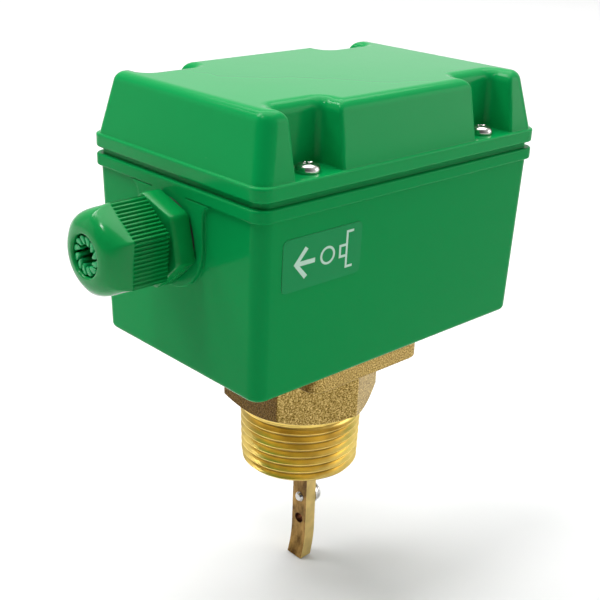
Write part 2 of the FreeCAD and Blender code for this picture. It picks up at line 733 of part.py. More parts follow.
# -------------------------------------------------------------------- mechanism
def make_mechanism_bracket():
    foot = rounded_block(bracket_foot_l, bracket_foot_w, bracket_foot_r, floor_z, bracket_t,
                         bracket_foot_x)
    wall = block((bracket_foot_x - bracket_foot_l / 2, bracket_wall_y, floor_z),
                 (bracket_foot_x + bracket_foot_l / 2, bracket_wall_y + bracket_t, bracket_top_z))
    tongue_half = bracket_tongue_l / 2
    tongue = block((range_screw_x - tongue_half, -tongue_half, bracket_top_z - bracket_t),
                   (range_screw_x + tongue_half, bracket_wall_y, bracket_top_z))
    bracket = fused([foot, wall, tongue])
    end_x = bracket_foot_x + bracket_foot_l / 2
    corners = [e for e in bracket.Edges if e.BoundBox.XMin > end_x - 1e-6
               and e.BoundBox.ZMin > bracket_top_z - 1e-6 and e.BoundBox.YLength < bracket_t + 1e-6]
    bracket = bracket.makeFillet(bracket_corner_r, corners)
    bracket = bracket.cut(cylinder(spigot_r + spigot_clear, spigot_top_z - floor_z + spigot_clear,
                                   (0, 0, floor_z)))
    bracket = bracket.cut(cylinder(range_screw_r + running_clear, bracket_t,
                                   (range_screw_x, 0, bracket_top_z - bracket_t)))
    slot_half = spring_key_w / 2 + key_clear
    bracket = bracket.cut(block(
        (range_screw_x - slot_half, bracket_wall_y, spring_nut_low_z - slot_overrun),
        (range_screw_x + slot_half, bracket_wall_y + bracket_t,
         spring_nut_z + spring_nut_t + slot_overrun)))
    for x, y in body_screw_places:
        bracket = bracket.cut(cylinder(body_screw_r, bracket_t, (x, y, floor_z)))
    bracket = bracket.cut(cylinder(body_screw_r, bracket_t, (ground_screw_x, ground_screw_y, floor_z)))
    for x, z in switch_hole_places:
        bracket = bracket.cut(cylinder(switch_hole_r, bracket_t, (x, bracket_wall_y, z), Y))
    return bracket


def make_body_screws():
    return [pan_screw(body_screw_r, body_screw_l, body_screw_head_r, body_screw_head_h,
                      (x, y, bracket_z), -Z) for x, y in body_screw_places]


def make_ground_clamp():
    """Square saddle washer under the earthing screw."""
    half = body_screw_head_r + ground_clamp_lip
    top_z = bracket_z + ground_clamp_t
    plate = block((ground_screw_x - half, ground_screw_y - half, bracket_z),
                  (ground_screw_x + half, ground_screw_y + half, top_z))
    return plate.cut(cylinder(body_screw_r, ground_clamp_t,
                              (ground_screw_x, ground_screw_y, bracket_z)))


def make_ground_screw():
    seat = (ground_screw_x, ground_screw_y, bracket_z + ground_clamp_t)
    return pan_screw(body_screw_r, ground_clamp_t + bracket_t, body_screw_head_r,
                     body_screw_head_h, seat, -Z)


def make_range_screw():
    return pan_screw(range_screw_r, range_screw_l, range_head_r, range_head_h,
                     (range_screw_x, 0, bracket_top_z), -Z)


def make_screw_clip():
    """Retaining ring that holds the range screw up against the tongue."""
    low_z = bracket_top_z - bracket_t - clip_clear - screw_clip_t
    return tube(screw_clip_r, range_screw_r, screw_clip_t, (range_screw_x, 0, low_z))


def make_spring_nut():
    """Plate nut on the range screw, with a key that rides in the bracket's slot."""
    half = spring_nut_w / 2
    plate = rounded_block(spring_nut_w, spring_nut_w, spring_nut_corner_r, spring_nut_z,
                          spring_nut_t, range_screw_x)
    key = block((range_screw_x - spring_key_w / 2, half - spring_key_root, spring_nut_z),
                (range_screw_x + spring_key_w / 2, bracket_wall_y + bracket_t,
                 spring_nut_z + spring_nut_t))
    nut = fused([plate, key])
    return nut.cut(cylinder(range_screw_r + running_clear, spring_nut_t,
                            (range_screw_x, 0, spring_nut_z)))


def make_range_spring():
    """Coil between the trip lever and the plate nut, as short straight runs of wire."""
    low_z = lever_top_z + spring_wire_r + spring_end_gap
    rise = spring_nut_z - spring_wire_r - spring_end_gap - low_z
    runs = spring_turns * spring_runs
    points = []
    for n in range(runs + 1):
        turn = 2 * math.pi * n / spring_runs
        points.append(Vector(range_screw_x + spring_r * math.cos(turn), spring_r * math.sin(turn),
                             low_z + rise * n / runs))
    path = Part.makePolygon(points)
    along = points[1] - points[0]
    ring = hexagon_prism(spring_wire_r * math.sqrt(3), 1.0, tuple(points[0]), along).Faces
    section = min(ring, key=lambda face: face.CenterOfMass.distanceToPoint(points[0])).OuterWire
    sweep = Part.BRepOffsetAPI.MakePipeShell(path)
    sweep.setTransitionMode(1)
    sweep.add(section)
    sweep.build()
    sweep.makeSolid()
    return sweep.shape()


def make_switch_body():
    case = block((switch_face_x, switch_low_y, switch_z),
                 (switch_face_x + switch_d, bracket_wall_y, switch_z + switch_l))
    upright = [e for e in case.Edges if e.BoundBox.YLength > switch_t - 1e-6]
    case = case.makeFillet(switch_edge_r, upright)
    for x, z in switch_hole_places:
        case = case.cut(cylinder(switch_hole_r, switch_t, (x, switch_low_y, z), Y))
    half = plunger_w / 2 + plunger_clear
    side = plunger_r + plunger_clear
    well = block((switch_face_x, switch_plunger_y - side, plunger_z - half),
                 (switch_face_x + plunger_seat, switch_plunger_y + side, plunger_z + half))
    return case.cut(well)


def make_switch_plunger():
    half = plunger_w / 2
    pin = block((tab_face_x + plunger_gap, switch_plunger_y - plunger_r, plunger_z - half),
                (switch_face_x + plunger_root, switch_plunger_y + plunger_r, plunger_z + half))
    tip = [e for e in pin.Edges if e.BoundBox.XMax < tab_face_x + plunger_gap + 1e-6]
    return pin.makeFillet(plunger_tip_r, tip)


def make_switch_screws():
    screws = []
    for x, z in switch_hole_places:
        seat = (x, switch_low_y, z)
        screws.append(pan_screw(switch_hole_r, switch_t + bracket_t + screw_proud,
                                switch_head_r, switch_head_h, seat, Y))
    return screws


def terminal_places():
    middle = switch_z + switch_l / 2
    return [middle + n * terminal_step for n in (-1, 0, 1)]


def make_switch_terminals():
    """Three contact blades that stand out of the switch's back."""
    back_x = switch_face_x + switch_d
    blades = []
    for z in terminal_places():
        blade = block((back_x, switch_plunger_y - terminal_t / 2, z - terminal_w / 2),
                      (back_x + terminal_l, switch_plunger_y + terminal_t / 2, z + terminal_w / 2))
        hole = cylinder(terminal_screw_r, terminal_t,
                        (back_x + terminal_l - terminal_w / 2, switch_plunger_y - terminal_t / 2, z), Y)
        blades.append(blade.cut(hole))
    return blades


def make_terminal_screws():
    screws = []
    x = switch_face_x + switch_d + terminal_l - terminal_w / 2
    for z in terminal_places():
        seat = (x, switch_plunger_y - terminal_t / 2, z)
        screws.append(pan_screw(terminal_screw_r, terminal_t + screw_proud, terminal_head_r,
                                terminal_head_h, seat, Y))
    return screws


# -------------------------------------------------------------- direction label
def make_direction_label():
    """Thin plate that lies on the tapered front wall."""
    outline = rounded_outline(label_l, label_h, label_corner_r, 0)
    slab = Part.Face(outline).extrude(Z * housing_w)
    slab.rotate(Vector(0, 0, 0), X, 90)
    slab.translate(Vector(label_x, 0, label_z))
    return slab.common(base_envelope(label_t)).cut(base_envelope())


nodes = {
    "base_housing": make_base_housing,
    "lid_inserts": make_lid_inserts,
    "lid": make_lid,
    "lid_gasket": make_lid_gasket,
    "lid_screws": make_lid_screws,
    "brass_body": make_brass_body,
    "plate_gasket": make_plate_gasket,
    "body_screws": make_body_screws,
    "gland_body": make_gland_body,
    "gland_washer": make_gland_washer,
    "gland_locknut": make_gland_locknut,
    "gland_seal": make_gland_seal,
    "gland_clamp": make_gland_clamp,
    "gland_nut": make_gland_nut,
    "pivot_yoke": make_pivot_yoke,
    "pivot_pin": make_pivot_pin,
    "paddle_arm": make_paddle_arm,
    "paddle_screw": make_paddle_screw,
    "paddle_washer": make_paddle_washer,
    "lever_rod": make_lever_rod,
    "bellows": make_bellows,
    "bellows_cap": make_bellows_cap,
    "trip_lever": make_trip_lever,
    "rod_nut": make_rod_nut,
    "mechanism_bracket": make_mechanism_bracket,
    "range_screw": make_range_screw,
    "screw_clip": make_screw_clip,
    "spring_nut": make_spring_nut,
    "range_spring": make_range_spring,
    "switch_body": make_switch_body,
    "switch_plunger": make_switch_plunger,
    "switch_screws": make_switch_screws,
    "switch_terminals": make_switch_terminals,
    "terminal_screws": make_terminal_screws,
    "ground_clamp": make_ground_clamp,
    "ground_screw": make_ground_screw,
    "direction_label": make_direction_label,
}

os.makedirs("parts", exist_ok=True)
for name, make in nodes.items():
    made = make()
    solids = [s for piece in (made if isinstance(made, list) else [made]) for s in piece.Solids]
    shape = solids[0] if len(solids) == 1 else Part.makeCompound(solids)
    shape.exportStep("parts/" + name + ".step")
    box = shape.BoundBox
    print(f"{name:18s} solids {len(solids)} valid {shape.isValid()} volume {shape.Volume:9.1f}",
          f"x {box.XMin:.2f} {box.XMax:.2f} y {box.YMin:.2f} {box.YMax:.2f}",
          f"z {box.ZMin:.2f} {box.ZMax:.2f}")
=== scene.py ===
import math

import bmesh
import bpy
from mathutils import Matrix, Vector


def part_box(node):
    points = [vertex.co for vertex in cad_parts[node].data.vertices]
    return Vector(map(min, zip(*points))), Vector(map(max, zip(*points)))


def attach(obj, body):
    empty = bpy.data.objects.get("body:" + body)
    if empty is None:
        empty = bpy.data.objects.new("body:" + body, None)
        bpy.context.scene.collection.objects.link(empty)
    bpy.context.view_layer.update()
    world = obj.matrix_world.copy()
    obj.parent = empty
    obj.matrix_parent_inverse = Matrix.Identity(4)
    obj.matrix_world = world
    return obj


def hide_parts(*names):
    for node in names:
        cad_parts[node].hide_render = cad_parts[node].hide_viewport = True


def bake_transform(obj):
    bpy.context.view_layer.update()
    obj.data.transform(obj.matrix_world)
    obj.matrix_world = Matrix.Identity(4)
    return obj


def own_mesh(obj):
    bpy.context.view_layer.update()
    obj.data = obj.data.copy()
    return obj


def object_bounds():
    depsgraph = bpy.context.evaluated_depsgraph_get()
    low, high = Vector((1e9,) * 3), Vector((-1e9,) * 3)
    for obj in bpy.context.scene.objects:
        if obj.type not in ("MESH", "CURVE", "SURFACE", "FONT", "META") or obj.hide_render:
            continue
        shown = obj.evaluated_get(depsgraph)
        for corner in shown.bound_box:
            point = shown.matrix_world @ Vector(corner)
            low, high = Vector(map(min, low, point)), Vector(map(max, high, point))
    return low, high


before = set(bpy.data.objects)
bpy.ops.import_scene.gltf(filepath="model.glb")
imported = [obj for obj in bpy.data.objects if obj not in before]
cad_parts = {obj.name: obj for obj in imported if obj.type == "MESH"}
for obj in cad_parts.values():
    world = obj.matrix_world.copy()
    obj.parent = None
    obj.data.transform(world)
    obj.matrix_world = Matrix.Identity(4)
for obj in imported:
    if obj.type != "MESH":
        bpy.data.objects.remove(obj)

cad_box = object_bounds()
scene = bpy.context.scene


# ------------------------------------------------------------------------ camera
# A long lens looks down on the corner between the gland's side and the labelled side.
# It leans two degrees to one side, as a hand-held camera does.
camera_azimuth = math.radians(-43.55)
camera_elevation = math.radians(22.28)
camera_lean = math.radians(1.96)
camera_distance = 0.2921
camera_aim = Vector((0.0020, 0.0037, 0.0267))
looking = Vector((-math.sin(camera_azimuth) * math.cos(camera_elevation),
                  math.cos(camera_azimuth) * math.cos(camera_elevation),
                  -math.sin(camera_elevation)))
level_right = Vector((math.cos(camera_azimuth), math.sin(camera_azimuth), 0))
level_up = level_right.cross(looking)
camera_right = level_right * math.cos(camera_lean) + level_up * math.sin(camera_lean)
camera_up = level_up * math.cos(camera_lean) - level_right * math.sin(camera_lean)

camera_data = bpy.data.cameras.new("camera")
camera_data.lens = 65.13
camera_data.sensor_width = 36.0
camera_data.clip_start = 0.01
camera = bpy.data.objects.new("camera", camera_data)
camera.matrix_world = Matrix.Translation(camera_aim - looking * camera_distance) @ Matrix(
    (camera_right, camera_up, -looking)).transposed().to_4x4()
scene.collection.objects.link(camera)
scene.camera = camera
scene.view_settings.view_transform = "Standard"


# ------------------------------------------------------------- studio floor and lights
# A white paper floor under the arm's tip, a large soft light overhead, smaller ones on
# each side, and grey walls that grow brighter behind the part and shine on its lid.
def node(tree, kind, **inputs):
    """Adds a shader node and sets or links its inputs by name."""
    made = tree.nodes.new("ShaderNode" + kind)
    for name, value in inputs.items():
        socket = made.inputs[name.replace("_", " ")]
        if isinstance(value, bpy.types.NodeSocket):
            tree.links.new(value, socket)
        else:
            socket.default_value = value
    return made


def new_material(name, colour, roughness, metallic=0.0):
    """Principled material with its even values set on the shader itself."""
    material = bpy.data.materials.new(name)
    material.use_nodes = True
    shader = material.node_tree.nodes["Principled BSDF"]
    shader.inputs["Base Color"].default_value = (*colour, 1)
    shader.inputs["Roughness"].default_value = roughness
    shader.inputs["Metallic"].default_value = metallic
    return material, material.node_tree, shader


floor_size = 40.0
floor_z = cad_box[0][2] - 0.0002
floor_mesh = bpy.data.meshes.new("paper_floor")
half = floor_size / 2
floor_mesh.from_pydata([(-half, -half, floor_z), (half, -half, floor_z),
                        (half, half, floor_z), (-half, half, floor_z)], [], [(0, 1, 2, 3)])
floor = bpy.data.objects.new("paper_floor", floor_mesh)
scene.collection.objects.link(floor)
paper = new_material("white_paper", (0.66, 0.66, 0.66), 0.9)[0]
floor.data.materials.append(paper)


def soft_light(name, place, size, power):
    """Square light that faces the part and isn't seen itself."""
    data = bpy.data.lights.new(name, "AREA")
    data.shape = "SQUARE"
    data.size = size
    data.energy = power
    light = bpy.data.objects.new(name, data)
    turn = (Vector((0, 0, 0.03)) - place).to_track_quat("-Z", "Y").to_matrix().to_4x4()
    light.matrix_world = Matrix.Translation(place) @ turn
    light.visible_camera = False
    scene.collection.objects.link(light)


level_ahead = Vector((looking.x, looking.y, 0)).normalized()
soft_light("top_light", level_ahead * 0.7 + Vector((0, 0, 2.3)), 2.6, 75.0)
soft_light("key_light", level_ahead * 0.25 - level_right * 0.75 + Vector((0, 0, 1.05)), 0.4, 8.0)
soft_light("left_light", -level_right * 0.9 + Vector((0, 0, 0.30)), 0.5, 0.5)
soft_light("small_light", -level_ahead * 0.35 - level_right * 0.45 + Vector((0, 0, 0.95)), 0.14,
           3.2)
soft_light("right_light", level_right * 0.9 + Vector((0, 0, 0.30)), 0.5, 1.8)

world = bpy.data.worlds.new("studio")
scene.world = world
world.use_nodes = True
sky = world.node_tree
around = node(sky, "TexCoord").outputs["Generated"]
ahead = node(sky, "VectorMath")
ahead.operation = "DOT_PRODUCT"
sky.links.new(around, ahead.inputs[0])
ahead.inputs[1].default_value = level_ahead * 0.85 + level_right * 0.53
walls = node(sky, "ValToRGB", Fac=node(sky, "MapRange", Value=ahead.outputs["Value"],
                                       From_Min=-1.0, From_Max=1.0).outputs["Result"])
for position, grey in ((0.0, 0.10), (0.2, 0.14), (0.48, 0.5), (1.0, 0.74)):
    stop = walls.color_ramp.elements.new(position)
    stop.color = (grey, grey, grey, 1)
walls.color_ramp.elements.remove(walls.color_ramp.elements[-1])
walls.color_ramp.elements.remove(walls.color_ramp.elements[0])
sky.links.new(walls.outputs["Color"], sky.nodes["Background"].inputs["Color"])


# -------------------------------------------------------------------- brass body
# One sand casting carries the plate, the hexagon and the thread. Its sides keep the
# grain of the sand; the edges are rubbed bright by spanners and handling.
def show(piece, body, slot, material, *nodes):
    """Puts a finished piece on its body, in place of the solids it stands for."""
    piece.data.materials.clear()
    piece.data.materials.append(material)
    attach(piece, body)
    if nodes:
        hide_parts(*nodes)
    return piece


def new_piece(name, mesh):
    """Object made from a bmesh, smooth but for its sharp edges, its normals pointing out."""
    bmesh.ops.recalc_face_normals(mesh, faces=mesh.faces)
    data = bpy.data.meshes.new(name)
    mesh.to_mesh(data)
    mesh.free()
    data.shade_smooth()
    data.set_sharp_from_angle(angle=math.radians(38))
    piece = bpy.data.objects.new(name, data)
    scene.collection.objects.link(piece)
    return piece


def taken_from(node_name, name, edge):
    """Copy of a solid whose flat faces are joined up and whose edges are rounded."""
    mesh = bmesh.new()
    mesh.from_mesh(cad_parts[node_name].data)
    bmesh.ops.remove_doubles(mesh, verts=mesh.verts, dist=2e-6)
    bmesh.ops.dissolve_limit(mesh, angle_limit=math.radians(0.6), verts=mesh.verts,
                             edges=mesh.edges, delimit={"NORMAL"})
    piece = new_piece(name, mesh)
    rounding = piece.modifiers.new("edges", "BEVEL")
    rounding.width = edge
    rounding.segments = 2
    rounding.limit_method = "ANGLE"
    rounding.angle_limit = math.radians(35)
    rounding.miter_outer = "MITER_ARC"
    rounding.harden_normals = True
    normals = piece.modifiers.new("normals", "WEIGHTED_NORMAL")
    normals.keep_sharp = True
    normals.weight = 100
    return piece


def facing_x(tree, low, high):
    """1 on faces that look along the X axis and 0 on the others."""
    sides = node(tree, "SeparateXYZ", Vector=node(tree, "TexCoord").outputs["Normal"])
    size = node(tree, "Math", Value=sides.outputs["X"])
    size.operation = "ABSOLUTE"
    share = node(tree, "MapRange", Value=size.outputs["Value"], From_Min=low, From_Max=high)
    return share.outputs["Result"]


def cast_brass():
    """Sand-cast brass: dull, grainy and mottled, with painted shade that makes the sides facing
    along X darker and browner.
    """
    material, tree, shader = new_material("cast_brass", (0.36, 0.27, 0.12), 0.5, 1.0)
    place = node(tree, "TexCoord").outputs["Object"]
    grain = node(tree, "TexNoise", Vector=place, Scale=2600.0, Detail=3.0, Roughness=0.6)
    pits = node(tree, "TexVoronoi", Vector=place, Scale=1900.0)
    patches = node(tree, "TexNoise", Vector=place, Scale=90.0, Detail=4.0)
    colours = node(tree, "ValToRGB", Fac=grain.outputs["Fac"])
    ramp = colours.color_ramp
    ramp.elements[0].position, ramp.elements[0].color = 0.34, (0.15, 0.09, 0.02, 1)
    ramp.elements[1].position, ramp.elements[1].color = 0.66, (0.85, 0.64, 0.26, 1)
    ramp.elements.new(0.5).color = (0.42, 0.29, 0.08, 1)
    tint = node(tree, "MixRGB", Fac=0.35, Color1=colours.outputs["Color"])
    tint.blend_type = "MULTIPLY"
    stain = node(tree, "ValToRGB", Fac=patches.outputs["Fac"])
    stain.color_ramp.elements[0].color = (0.62, 0.55, 0.42, 1)
    stain.color_ramp.elements[1].color = (1, 1, 1, 1)
    tree.links.new(stain.outputs["Color"], tint.inputs["Color2"])
    # Painted shade: faces that look along X are multiplied towards a dull brown.
    x_side_darkening = node(tree, "MixRGB", Fac=facing_x(tree, 0.6, 0.95), Color1=tint.outputs["Color"],
                 Color2=(0.30, 0.24, 0.17, 1))
    x_side_darkening.blend_type = "MULTIPLY"
    tree.links.new(x_side_darkening.outputs["Color"], shader.inputs["Base Color"])
    rough = node(tree, "MapRange", Value=grain.outputs["Fac"], To_Min=0.62, To_Max=0.38)
    tree.links.new(rough.outputs["Result"], shader.inputs["Roughness"])
    height = node(tree, "Math", Value=grain.outputs["Fac"])
    height.operation = "ADD"
    tree.links.new(pits.outputs["Distance"], height.inputs[1])
    bump = node(tree, "Bump", Height=height.outputs["Value"], Strength=0.8, Distance=0.00012)
    tree.links.new(bump.outputs["Normal"], shader.inputs["Normal"])
    return material


thread_l = -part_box("brass_body")[0].z
thread_r = 0.01662
wet_bore_r = 0.010
seam_z = -0.0001  # where the turned thread takes over from the casting
sand_cast = cast_brass()
casting = taken_from("brass_body", "brass_casting", 0.00028)
mesh = bmesh.new()
mesh.from_mesh(casting.data)
bmesh.ops.bisect_plane(mesh, geom=mesh.verts[:] + mesh.edges[:] + mesh.faces[:], dist=1e-7,
                       plane_co=(0, 0, seam_z), plane_no=(0, 0, 1), clear_inner=True)
bmesh.ops.triangle_fill(mesh, edges=[e for e in mesh.edges if e.is_boundary], use_beauty=True)
mesh.to_mesh(casting.data)
mesh.free()
casting.data.shade_smooth()
casting.data.set_sharp_from_angle(angle=math.radians(38))
show(casting, "housing", "cast_brass", sand_cast, "brass_body")
worn = new_material("worn_brass", (0.86, 0.68, 0.34), 0.34, 1.0)[0]
casting.data.materials.append(worn)
casting.modifiers["edges"].material = 1


# ------------------------------------------------------------------- pipe thread
# Cut on a lathe below the hexagon, eleven turns to the inch with a taper of one in
# sixteen. The freshly cut flanks are much brighter than the casting above them.
def swept_ring(name, columns, outline, centre, along, helix=None):
    """Closed ring: outline(angle) gives (distance along the axis, radius) points. helix is
    the first and last of the points that climb a pitch in one turn, and how many that is."""
    aim = Vector(along).to_track_quat("Z", "Y").to_matrix()
    mesh = bmesh.new()
    rings = []
    for n in range(columns):
        angle = 2 * math.pi * n / columns
        points = [Vector((math.cos(angle), math.sin(angle), 0)) * radius + Vector((0, 0, distance))
                  for distance, radius in outline(angle)]
        rings.append([mesh.verts.new(Vector(centre) + aim @ point) for point in points])
    rows = len(rings[0])
    for n in range(columns):
        here, there = rings[n], rings[(n + 1) % columns]
        climb = helix if helix and n == columns - 1 else (rows, 0, 0)
        up = [min(k + climb[2], climb[1]) if climb[0] <= k <= climb[1] else k for k in range(rows)]
        for k in range(rows):
            after = (k + 1) % rows
            corners = dict.fromkeys((here[k], there[up[k]], there[up[after]], here[after]))
            if len(corners) > 2:
                mesh.faces.new(corners)
    bmesh.ops.remove_doubles(mesh, verts=mesh.verts, dist=2e-7)
    return new_piece(name, mesh)


def helical_rows(pitch, depth, low, high, steps, radius_at):
    """Rows of a screw thread between two distances, as a function of the angle."""
    def rows(angle):
        points = []
        first = math.floor(low / pitch) - 1
        last = math.ceil(high / pitch) + 1
        for k in range(first * steps, last * steps + 1):
            distance = min(max((k / steps + angle / (2 * math.pi)) * pitch, low), high)
            phase = (distance / pitch - angle / (2 * math.pi)) % 1.0
            groove = min(max((abs(2 * phase - 1) - 1 / 12) * 1.2, 0.0), 1.0)
            points.append((distance, radius_at(distance) - depth * groove))
        return points
    return rows


def two_tones(tree, patches, colour, low, high, dark, light):
    """Colour that goes from a darker to a lighter tone of itself between low and high."""
    tones = node(tree, "ValToRGB", Fac=patches.outputs["Fac"])
    first, last = tones.color_ramp.elements
    first.position, first.color = low, tuple(c * dark for c in colour) + (1,)
    last.position, last.color = high, tuple(min(c * light, 1) for c in colour) + (1,)
    return tones.outputs["Color"]


def turned_brass(name, colour):
    """Machined brass with faint tool marks round the axis."""
    material, tree, shader = new_material(name, colour, 0.3, 1.0)
    place = node(tree, "TexCoord").outputs["Object"]
    stretch = node(tree, "Mapping", Vector=place, Scale=(120.0, 120.0, 9000.0))
    marks = node(tree, "TexNoise", Vector=stretch.outputs["Vector"], Scale=1.0, Detail=3.0)
    patches = node(tree, "TexNoise", Vector=place, Scale=140.0, Detail=3.0)
    tones = two_tones(tree, patches, colour, 0.3, 0.7, 0.72, 1.12)
    tree.links.new(tones, shader.inputs["Base Color"])
    rough = node(tree, "MapRange", Value=marks.outputs["Fac"], To_Min=0.22, To_Max=0.46)
    tree.links.new(rough.outputs["Result"], shader.inputs["Roughness"])
    bump = node(tree, "Bump", Height=marks.outputs["Fac"], Strength=0.35, Distance=0.00002)
    tree.links.new(bump.outputs["Normal"], shader.inputs["Normal"])
    return material


pitch = 0.0254 / 11
thread_taper = 1 / 32
thread_depth = 0.0013
thread_chamfer = 0.001
thread_steps = 24


def thread_radius(distance):
    """Crest radius below the shoulder, chamfered at the open end."""
    crest = thread_r + distance * thread_taper
    return min(crest, crest - thread_chamfer + (distance + thread_l))


def thread_outline(angle):
    """The thread's section from the mouth to the seam; the groove runs out at the top."""
    fade = 0.0024
    outer = []
    for distance, radius in helical_rows(pitch, thread_depth, -thread_l, seam_z, thread_steps,
                                         lambda d: thread_r + d * thread_taper)(angle):
        crest = thread_r + distance * thread_taper
        depth = (crest - radius) * min(1.0, -distance / fade)
        outer.append((distance, min(crest - depth, thread_radius(distance))))
    return [(seam_z, wet_bore_r), (-thread_l, wet_bore_r)] + outer


bright_brass = turned_brass("turned_brass", (0.82, 0.585, 0.16))
root_brass = turned_brass("thread_brass", (0.92, 0.66, 0.18))
tree = root_brass.node_tree
shader = tree.nodes["Principled BSDF"]
parts = node(tree, "SeparateXYZ", Vector=node(tree, "TexCoord").outputs["Object"])
across = node(tree, "VectorMath")
across.operation = "LENGTH"
level = node(tree, "CombineXYZ", X=parts.outputs["X"], Y=parts.outputs["Y"])
tree.links.new(level.outputs["Vector"], across.inputs[0])
lean = node(tree, "Math", Value=parts.outputs["Z"])
lean.operation = "MULTIPLY"
lean.inputs[1].default_value = -thread_taper
even = node(tree, "Math", Value=across.outputs["Value"])
even.operation = "ADD"
tree.links.new(lean.outputs["Value"], even.inputs[1])
root_r = thread_r - thread_depth
# Painted shade: the thread's roots are mixed towards dark brown, for the shade that each crest
# casts into the groove below it.
painted_root_shade = node(tree, "MapRange", Value=even.outputs["Value"], From_Min=root_r + 0.0003,
             From_Max=root_r + 0.00005, To_Max=0.6)
undarkened = shader.inputs["Base Color"].links[0].from_socket
dark = node(tree, "MixRGB", Fac=painted_root_shade.outputs["Result"], Color1=undarkened,
            Color2=(0.13, 0.075, 0.02, 1))
tree.links.new(dark.outputs["Color"], shader.inputs["Base Color"])
thread = swept_ring("pipe_thread", 160, thread_outline, (0, 0, 0), (0, 0, 1),
                    (2, len(thread_outline(0)) - 1, thread_steps))
show(thread, "housing", "cast_brass", root_brass, "brass_body")


# ------------------------------------------------------------ pivot yoke and its pin
# A brass ring is pressed into the wet bore and holds a stainless pin across it. The
# arm hangs on the pin.
def plain_metal(name, colour, roughness, streaks=(1.0, 1.0, 1.0), mottle=0.12):
    """Sheet, bar or wire with slight mottling and a grain that may run one way."""
    material, tree, shader = new_material(name, colour, roughness, 1.0)
    place = node(tree, "TexCoord").outputs["Object"]
    stretch = node(tree, "Mapping", Vector=place, Scale=streaks)
    grain = node(tree, "TexNoise", Vector=stretch.outputs["Vector"], Scale=900.0, Detail=3.0)
    patches = node(tree, "TexNoise", Vector=place, Scale=160.0, Detail=3.0)
    tones = two_tones(tree, patches, colour, 0.35, 0.65, 1 - 2 * mottle, 1 + mottle)
    tree.links.new(tones, shader.inputs["Base Color"])
    rough = node(tree, "MapRange", Value=grain.outputs["Fac"], To_Min=roughness * 0.7,
                 To_Max=roughness * 1.35)
    tree.links.new(rough.outputs["Result"], shader.inputs["Roughness"])
    bump = node(tree, "Bump", Height=grain.outputs["Fac"], Strength=0.25, Distance=0.00002)
    tree.links.new(bump.outputs["Normal"], shader.inputs["Normal"])
    return material


drawn_brass = plain_metal("drawn_brass", (0.50, 0.37, 0.15), 0.36, (1.0, 1.0, 0.06), 0.2)
stainless = plain_metal("stainless_steel", (0.62, 0.60, 0.57), 0.2, mottle=0.06)
show(taken_from("pivot_yoke", "yoke_ring", 0.0002), "housing", "drawn_brass", drawn_brass,
     "pivot_yoke")
show(taken_from("pivot_pin", "yoke_pin", 0.0002), "housing", "stainless", stainless, "pivot_pin")


# --------------------------------------------------------------------- paddle arm
# A flat brass bar, drilled twice for the blade and bent a little at the tip. It is darker,
# in smeared patches, on its broad sides facing X than on its narrow ones; the inside of its
# free hole carries painted shade.
free_hole_z = -0.0399
free_hole_r = 0.0015
arm_brass = plain_metal("arm_brass", (0.74, 0.54, 0.20), 0.34, (1.0, 1.0, 0.06))
tree = arm_brass.node_tree
shader = tree.nodes["Principled BSDF"]
place = node(tree, "TexCoord").outputs["Object"]
drawn_out = node(tree, "Mapping", Vector=place, Scale=(1, 1, 0.5))
smears = node(tree, "TexNoise", Vector=drawn_out.outputs["Vector"], Scale=260.0, Detail=5.0,
              Roughness=0.7)
stain = node(tree, "ValToRGB", Fac=smears.outputs["Fac"])
first, last = stain.color_ramp.elements
first.position, first.color = 0.36, (0.16, 0.11, 0.08, 1)
last.position, last.color = 0.62, (0.52, 0.42, 0.34, 1)
undarkened = shader.inputs["Base Color"].links[0].from_socket
x_side_darkening = node(tree, "MixRGB", Fac=facing_x(tree, 0.5, 0.9), Color1=undarkened,
             Color2=stain.outputs["Color"])
x_side_darkening.blend_type = "MULTIPLY"
# Painted shade: the inside of the free hole is mixed to a near-black red-brown, for the shade in
# the hole.
away = node(tree, "VectorMath")
away.operation = "SUBTRACT"
tree.links.new(place, away.inputs[0])
away.inputs[1].default_value = (0, 0, free_hole_z)
flat = node(tree, "Mapping", Vector=away.outputs["Vector"], Scale=(0, 1, 1))
reach = node(tree, "VectorMath")
reach.operation = "LENGTH"
tree.links.new(flat.outputs["Vector"], reach.inputs[0])
inside = node(tree, "MapRange", Value=reach.outputs["Value"], From_Min=free_hole_r * 1.1,
              From_Max=free_hole_r)
painted_hole_shade = node(tree, "MixRGB", Fac=inside.outputs["Result"], Color1=x_side_darkening.outputs["Color"],
            Color2=(0.10, 0.035, 0.015, 1))
tree.links.new(painted_hole_shade.outputs["Color"], shader.inputs["Base Color"])

bar_slim = 0.0008
bar_top_z = -0.0125
arm = taken_from("paddle_arm", "arm_bar", 0.00018)
moved = {}
for face in arm.data.polygons:
    if face.normal.x > 0.6 and face.center.z < bar_top_z:
        for corner in face.vertices:
            moved[corner] = face.normal.copy()
for corner, outward in moved.items():
    arm.data.vertices[corner].co -= outward * bar_slim
show(arm, "paddle_lever", "drawn_brass", arm_brass, "paddle_arm")


# ------------------------------------------------------- paddle screw and its washer
# A stainless pan-head screw with a plain washer stays in the upper hole. Its end stands
# out of the far side of the bar.
def joined(name, parts):
    """One piece from several, which are taken up by it."""
    mesh = bmesh.new()
    for part in parts:
        mesh.from_mesh(part.data)
        bpy.data.objects.remove(part)
    data = bpy.data.meshes.new(name)
    mesh.to_mesh(data)
    mesh.free()
    piece = bpy.data.objects.new(name, data)
    scene.collection.objects.link(piece)
    return piece


def cut_with(piece, cutter):
    """Takes the cutter's form out of the piece."""
    cutting = piece.modifiers.new("cut", "BOOLEAN")
    cutting.object = cutter
    cutting.solver = "EXACT"
    bpy.context.view_layer.update()
    seen = piece.evaluated_get(bpy.context.evaluated_depsgraph_get())
    data = bpy.data.meshes.new_from_object(seen)
    piece.modifiers.clear()
    piece.data = data
    bpy.data.objects.remove(cutter)


